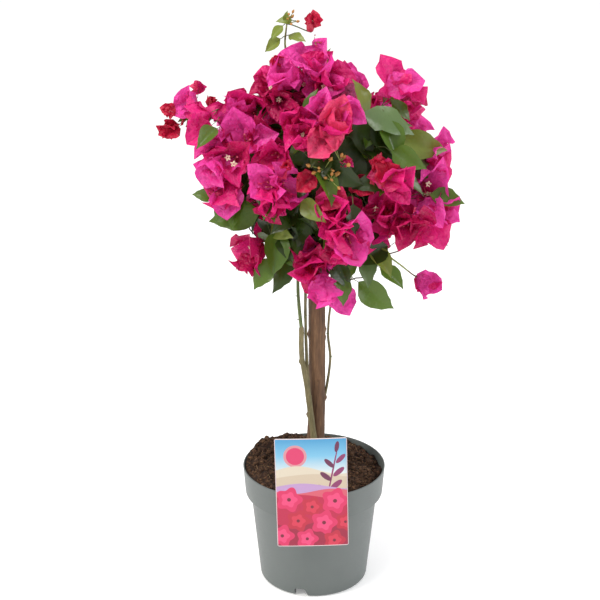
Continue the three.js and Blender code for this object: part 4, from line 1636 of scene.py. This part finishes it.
    def spray(self, name, kind, tone, place, turn, size, roll=None, opened=None):
        """One of the listed sprays, on a twig of its own."""
        point = at(self.masses[name], place)
        self.taken.append((point, LISTED_ROOM))
        towards = heading(*turn)
        face = (Vector((0, -1, 0.55)) + (point - self.core[0]).normalized() * 0.5).normalized()
        face = (face + self.chance_direction() * 0.35).normalized()
        if kind == "bloom":
            point = point - towards * (0 if name in OPEN_MASSES else 8 * MM)
            path = self.twig(self.add_bloom(point, towards, size, tone, roll, opened), towards)
            if name not in OPEN_MASSES and self.chance.random() < 0.4:
                self.leafy(path, 0.85, ("green", "dark", "green"), 1)
        elif kind == "closed":
            self.twig(self.add_bloom(point, towards, size, tone, opened=7), towards, 0.4)
        elif kind == "bract":
            foot = point - towards * self.bloom.length * 0.5 * size
            self.bracts[tone].append((foot, axes(towards, face), size, self.chance.choice((0, 1, 3))))
            self.twig(foot, towards, 0.4)
        elif kind == "leaf":
            foot = point - towards * self.leaf.length * 0.62 * size
            self.add_leaf(foot, towards, face, size, tone)
            self.twig(foot, (towards + UP * 0.4).normalized(), 0.45)
        elif kind == "bud":
            self.twig(self.add_bud(point, towards, size, tone), towards, 0.42)
        elif kind == "buds":
            foot = point - towards * 10 * MM * size
            self.twig(foot, towards, 0.4)
            for _ in range(7):
                out = (towards + self.chance_direction() * 0.9).normalized()
                tip = foot + out * self.chance.uniform(7, 17) * MM * size
                self.add_bud(tip, out, size * self.chance.uniform(0.26, 0.42), tone)
                self.threads.append([(foot, 0.5 * MM), (tip - out * 2 * MM, 0.4 * MM)])

    def inside_others(self, name, point):
        """Whether a point of a mass is well inside another mass."""
        share = 0.6 if "back" in name else 0.72
        for other, (middle, half) in {**self.masses, "foliage_core": self.core}.items():
            away = Vector([(point[axis] - middle[axis]) / (half[axis] * share) for axis in range(3)])
            if other != name and away.length < 1:
                return True
        return False

    def fill(self, name):
        """Sprays all over the open side of a mass, on a spiral, where no listed spray grows."""
        chance = self.chance
        middle, half = self.masses[name]
        count = max(6, round(ball_area(half) / self.bloom.spacing**2))
        inset = self.bloom.length * (0.40 if "back" in name else 0.58)
        for out in spiral(count, chance.random() * math.tau):
            deep = chance.uniform(0.0, 0.35) * inset
            point = at((middle, [max(0.2 * size, size - inset - deep) for size in half]), out)
            if self.inside_others(name, point):
                continue
            if any((point - other).length < room for other, room in self.taken):
                continue
            away = (point - self.core[0]).normalized()
            normal = Vector([out[axis] / half[axis] for axis in range(3)]).normalized()
            towards = (normal * 0.6 + away * 0.7 + self.chance_direction() * 0.55).normalized()
            self.taken.append((point, GROWN_ROOM))
            if name.startswith("leaves") and chance.random() < 0.72:
                path = self.twig(point - towards * 8 * MM, towards)
                self.leafy(path, 0.9, ("green", "dark", "green", "olive", "grey"), 3)
                continue
            tone = chance.choices(("pink", "rose", "deep", "pale", "coral"), (36, 34, 18, 7, 5))[0]
            size = chance.uniform(0.78, 1.02)
            path = self.twig(self.add_bloom(point, towards, size, tone), towards)
            for _ in range(chance.choice((0, 1, 1, 2))):
                side = (towards + self.chance_direction() * 0.9).normalized()
                apart = (side - towards * side.dot(towards)) * 16 * MM
                centre = point - towards * 9 * MM + apart
                self.add_bloom(centre, side, size * chance.uniform(0.72, 0.95), tone)
            self.leafy(path, 0.8, ("green", "dark", "olive"), chance.choice((0, 0, 1)))

    def close_gaps(self):
        """Sprays over the round of the crown wherever none has grown yet, leafy ones towards the front."""
        chance = self.chance
        for out in spiral(CLOSING_SPRAYS):
            back = out.y > 0.1
            point = at(self.core, out * (0.98 if back else 0.8))
            room = 19 * MM if back else 24 * MM
            if any((point - other).length < room for other, _ in self.taken):
                continue
            towards = (out + self.chance_direction() * 0.35).normalized()
            if back and chance.random() < 0.6:
                size = chance.uniform(0.8, 1.0)
                tone = chance.choice(("pink", "rose", "rose", "deep"))
                self.twig(self.add_bloom(point, towards, size, tone), towards)
            else:
                self.leafy(self.twig(point, towards), 0.95, ("green", "dark", "dark"), 3)
            self.taken.append((point, GROWN_ROOM))

    def shade_leaves(self):
        """Older leaves inside the crown, on twigs of their own. Two in three take the dark tone, painted shade
        for the crown's shaded inside.
        """
        chance = self.chance
        for _ in range(INNER_LEAVES):
            out = self.chance_direction()
            point = at(self.core, out * chance.uniform(0.35, 0.78))
            along = (out * 0.5 + self.chance_direction() * 0.8 + Vector((0, 0, -0.3))).normalized()
            self.twig(point, along, 0.5)
            # mostly the dark tone: painted shade inside the crown
            size, tone = chance.uniform(0.8, 1.2), chance.choice(("dark", "dark", "green"))
            self.add_leaf(point, along, out + UP * 0.4, size, tone)

    def grow(self):
        """Grows the whole crown."""
        self.grow_boughs()
        for name, sprays in SPRAYS.items():
            for spray in sprays:
                self.spray(name, *spray)
        for name, place, room in GAPS:
            self.taken.append((at(self.masses[name], place), room * MM))
        for name in self.masses:
            if name not in OPEN_MASSES:
                self.fill(name)
        self.close_gaps()
        self.shade_leaves()
        self.skin_boughs()


CROWN = {}


class PLANT_OT_branches(bpy.types.Operator):
    """Grows the boughs, twigs and stalks of the crown"""

    bl_idname = "plant.branches"
    bl_label = "Boughs and twigs"

    def execute(self, context):
        crown = Crown(context.scene.plant_bloom, context.scene.plant_leaf)
        crown.grow()
        CROWN["grown"] = crown
        for name, paths, sides, bark, *nodes in (
            ("crown_boughs", crown.boughs, 8, "brown_bark", "foliage_core"),
            ("crown_twigs", crown.twigs, 5, "green_young_bark"),
            ("leaf_stalks", crown.stalks, 4, "green_young_bark"),
            ("bud_stalks", crown.threads, 4, "pale_green_shoot"),
        ):
            piece = skinned_paths(name, paths, sides, bpy.data.materials[bark])
            finished(piece, "stem_bark", *nodes)
        return {"FINISHED"}


def set_blades(kind, shapes, places, tissues, spread, first_seed, masses):
    """Sets a kind's blades on their sprays, one piece for each tone. The first stands for the masses."""
    for number, (tone, tissue) in enumerate(tissues.items()):
        piece = scattered(f"{kind}_{tone}", places[tone], shapes, tissue, spread, first_seed + number)
        finished(piece, kind, *(masses if number == 0 else ()))
    drop(shapes)


class PLANT_OT_bracts(bpy.types.Operator):
    """Sets the papery bracts on their sprays, one piece for each tone"""

    bl_idname = "plant.bracts"
    bl_label = "Bracts"

    def execute(self, context):
        crown, bloom = CROWN["grown"], context.scene.plant_bloom

        def bract(name, number):
            form, seed = BRACT_FORMS[number], FIRST_BRACT_SEED + number
            return blade(name, bloom.length, bloom.width, BRACT_OUTLINE, BRACT_COLUMNS, form, seed)

        shapes = shape_collection("bract_shapes", bract, len(BRACT_FORMS))
        masses = [name for name in crown.masses if not name.startswith("leaves")]
        papers = tinted("papery_bract", BRACT_TONES)
        set_blades("bracts", shapes, crown.bracts, papers, 0.04, 1, masses)
        return {"FINISHED"}


class PLANT_OT_flowers(bpy.types.Operator):
    """Sets the small flower tubes, their open stars and the closed buds"""

    bl_idname = "plant.flowers"
    bl_label = "Flowers and buds"

    def execute(self, context):
        crown = CROWN["grown"]
        for name, places, make, count, tissue, tints in (
            ("tube", crown.tubes, tube_shape, TUBE_SHAPES, "rosy_flower_tube", (0xC4506A, 0xE06080)),
            ("star", crown.stars, star_shape, STAR_SHAPES, "cream_flower", (0xF0E2C4, 0xFFF4DC)),
        ):
            shapes = shape_collection(f"{name}_shapes", make, count)
            petal = thin_tissue(tissue, *tints, *TISSUES[tissue])
            finished(scattered(f"flower_{name}s", places, shapes, petal), "bracts")
            drop(shapes)
        buds = shape_collection("bud_shapes", bud_shape, BUD_SHAPES)
        for tone, skin in tinted("bud_skin", BUD_TONES).items():
            piece = scattered(f"buds_{tone}", crown.buds[tone], buds, skin)
            piece.data.shade_smooth()
            finished(piece, "bracts")
        drop(buds)
        return {"FINISHED"}


class PLANT_OT_leaves(bpy.types.Operator):
    """Sets the leaves on their stalks, one piece for each tone"""

    bl_idname = "plant.leaves"
    bl_label = "Leaves"

    def execute(self, context):
        crown, leaf = CROWN["grown"], context.scene.plant_leaf

        def leaf_shape(name, number):
            form, seed = LEAF_FORMS[number], FIRST_LEAF_SEED + number
            return blade(name, leaf.length, leaf.width, LEAF_OUTLINE, LEAF_COLUMNS, form, seed)

        shapes = shape_collection("leaf_shapes", leaf_shape, len(LEAF_FORMS))
        masses = [name for name in crown.masses if name.startswith("leaves")]
        skins = tinted("smooth_leaf", LEAF_TONES)
        set_blades("leaves", shapes, crown.leaves, skins, 0.06, 20, masses)
        return {"FINISHED"}


# ---------------------------------------------------------------------------------------------
# The stage
# ---------------------------------------------------------------------------------------------

FLOOR_HALF, FLOOR_HEIGHT = 14.0, -0.0004
LIT_POINT = Vector((0, 0, 0.45))
# Each light's place, size, power and colour.
LIGHTS = {
    "left_light": ((-1.5, -0.9, 1.6), 0.6, 22, 0xFFFBF4),
    "right_light": ((1.7, -0.5, 1.1), 0.7, 13, 0xF8FAFF),
    "top_light": ((-0.3, -0.5, 2.2), 0.6, 16, 0xFFFFFF),
}


def seamless_paper():
    """Matt white background paper, which glows a little as if lit from all round."""
    material, tree = new_material("seamless_paper")
    grain = scaled_noise(tree, 60, detail=2.0)
    shade = add(tree, "ShaderNodeValToRGB", {"Fac": grain}, [(0.0, 0xFBFBFB), (1.0, 0xFFFFFF)])
    paper = {"Base Color": shade, "Roughness": 0.95}
    glow = {"Emission Color": colour(0xFFFFFF), "Emission Strength": 0.22}
    return ended(material, add(tree, "ShaderNodeBsdfPrincipled", paper | glow))


def area_light(name, place, size, power, tint):
    """A round light that faces the plant."""
    light = bpy.data.lights.new(name, "AREA")
    light.shape = "DISK"
    light.size = size
    light.energy = power
    light.color = colour(tint)[:3]
    lamp = bpy.data.objects.new(name, light)
    lamp.location = place
    lamp.rotation_euler = (LIT_POINT - Vector(place)).to_track_quat("-Z", "Y").to_euler()
    bpy.context.scene.collection.objects.link(lamp)


class PLANT_OT_stage(bpy.types.Operator):
    """Sets the pale floor, the soft studio light and the camera"""

    bl_idname = "plant.stage"
    bl_label = "Stage"

    def execute(self, context):
        scene, stage = context.scene, context.scene.plant_stage
        signs = ((-1, -1), (1, -1), (1, 1), (-1, 1))
        corners = [(x * FLOOR_HALF, y * FLOOR_HALF, FLOOR_HEIGHT) for x, y in signs]
        floor = mesh_object("studio_floor", corners, [(0, 1, 2, 3)], smooth=False)
        floor.data.materials.append(seamless_paper())
        world = bpy.data.worlds.new("studio_air")
        world.use_nodes = True
        air = world.node_tree.nodes["Background"].inputs
        air["Color"].default_value = colour(0xFFFFFF)
        air["Strength"].default_value = 0.8
        scene.world = world
        for name, light in LIGHTS.items():
            area_light(name, *light)
        data = bpy.data.cameras.new("camera")
        data.lens = stage.lens
        data.sensor_width = 36
        camera = bpy.data.objects.new("camera", data)
        camera.location = (stage.aside, -stage.distance, stage.height)
        camera.rotation_euler = (math.pi / 2 - stage.pitch, 0, 0)
        scene.collection.objects.link(camera)
        scene.camera = camera
        scene.view_settings.view_transform = "Standard"
        return {"FINISHED"}


# ---------------------------------------------------------------------------------------------
# The panel and the run
# ---------------------------------------------------------------------------------------------

STEPS = ("stage", "pot", "compost", "label", "trunk", "branches", "bracts", "flowers", "leaves")
SETTINGS = {
    "plant_pot": PotSettings,
    "plant_compost": CompostSettings,
    "plant_label": LabelSettings,
    "plant_bloom": BloomSettings,
    "plant_leaf": LeafSettings,
    "plant_stage": StageSettings,
}


class PLANT_PT_panel(bpy.types.Panel):
    """The settings and the steps, in the order in which they run"""

    bl_idname = "PLANT_PT_panel"
    bl_label = "Potted bougainvillea"
    bl_space_type = "VIEW_3D"
    bl_region_type = "UI"
    bl_category = "Plant"

    def draw(self, context):
        for key in SETTINGS:
            box = self.layout.box()
            settings = getattr(context.scene, key)
            for name in settings.__annotations__:
                box.prop(settings, name)
        for step in STEPS:
            self.layout.operator(f"plant.{step}")


CLASSES = (
    *SETTINGS.values(),
    PLANT_OT_stage,
    PLANT_OT_pot,
    PLANT_OT_compost,
    PLANT_OT_label,
    PLANT_OT_trunk,
    PLANT_OT_branches,
    PLANT_OT_bracts,
    PLANT_OT_flowers,
    PLANT_OT_leaves,
    PLANT_PT_panel,
)


def register():
    for cls in CLASSES:
        bpy.utils.register_class(cls)
    for key, settings in SETTINGS.items():
        setattr(bpy.types.Scene, key, PointerProperty(type=settings))


def unregister():
    for key in SETTINGS:
        delattr(bpy.types.Scene, key)
    for cls in reversed(CLASSES):
        bpy.utils.unregister_class(cls)


def main():
    register()
    for step in STEPS:
        getattr(bpy.ops.plant, step)()


if __name__ == "__main__":
    main()
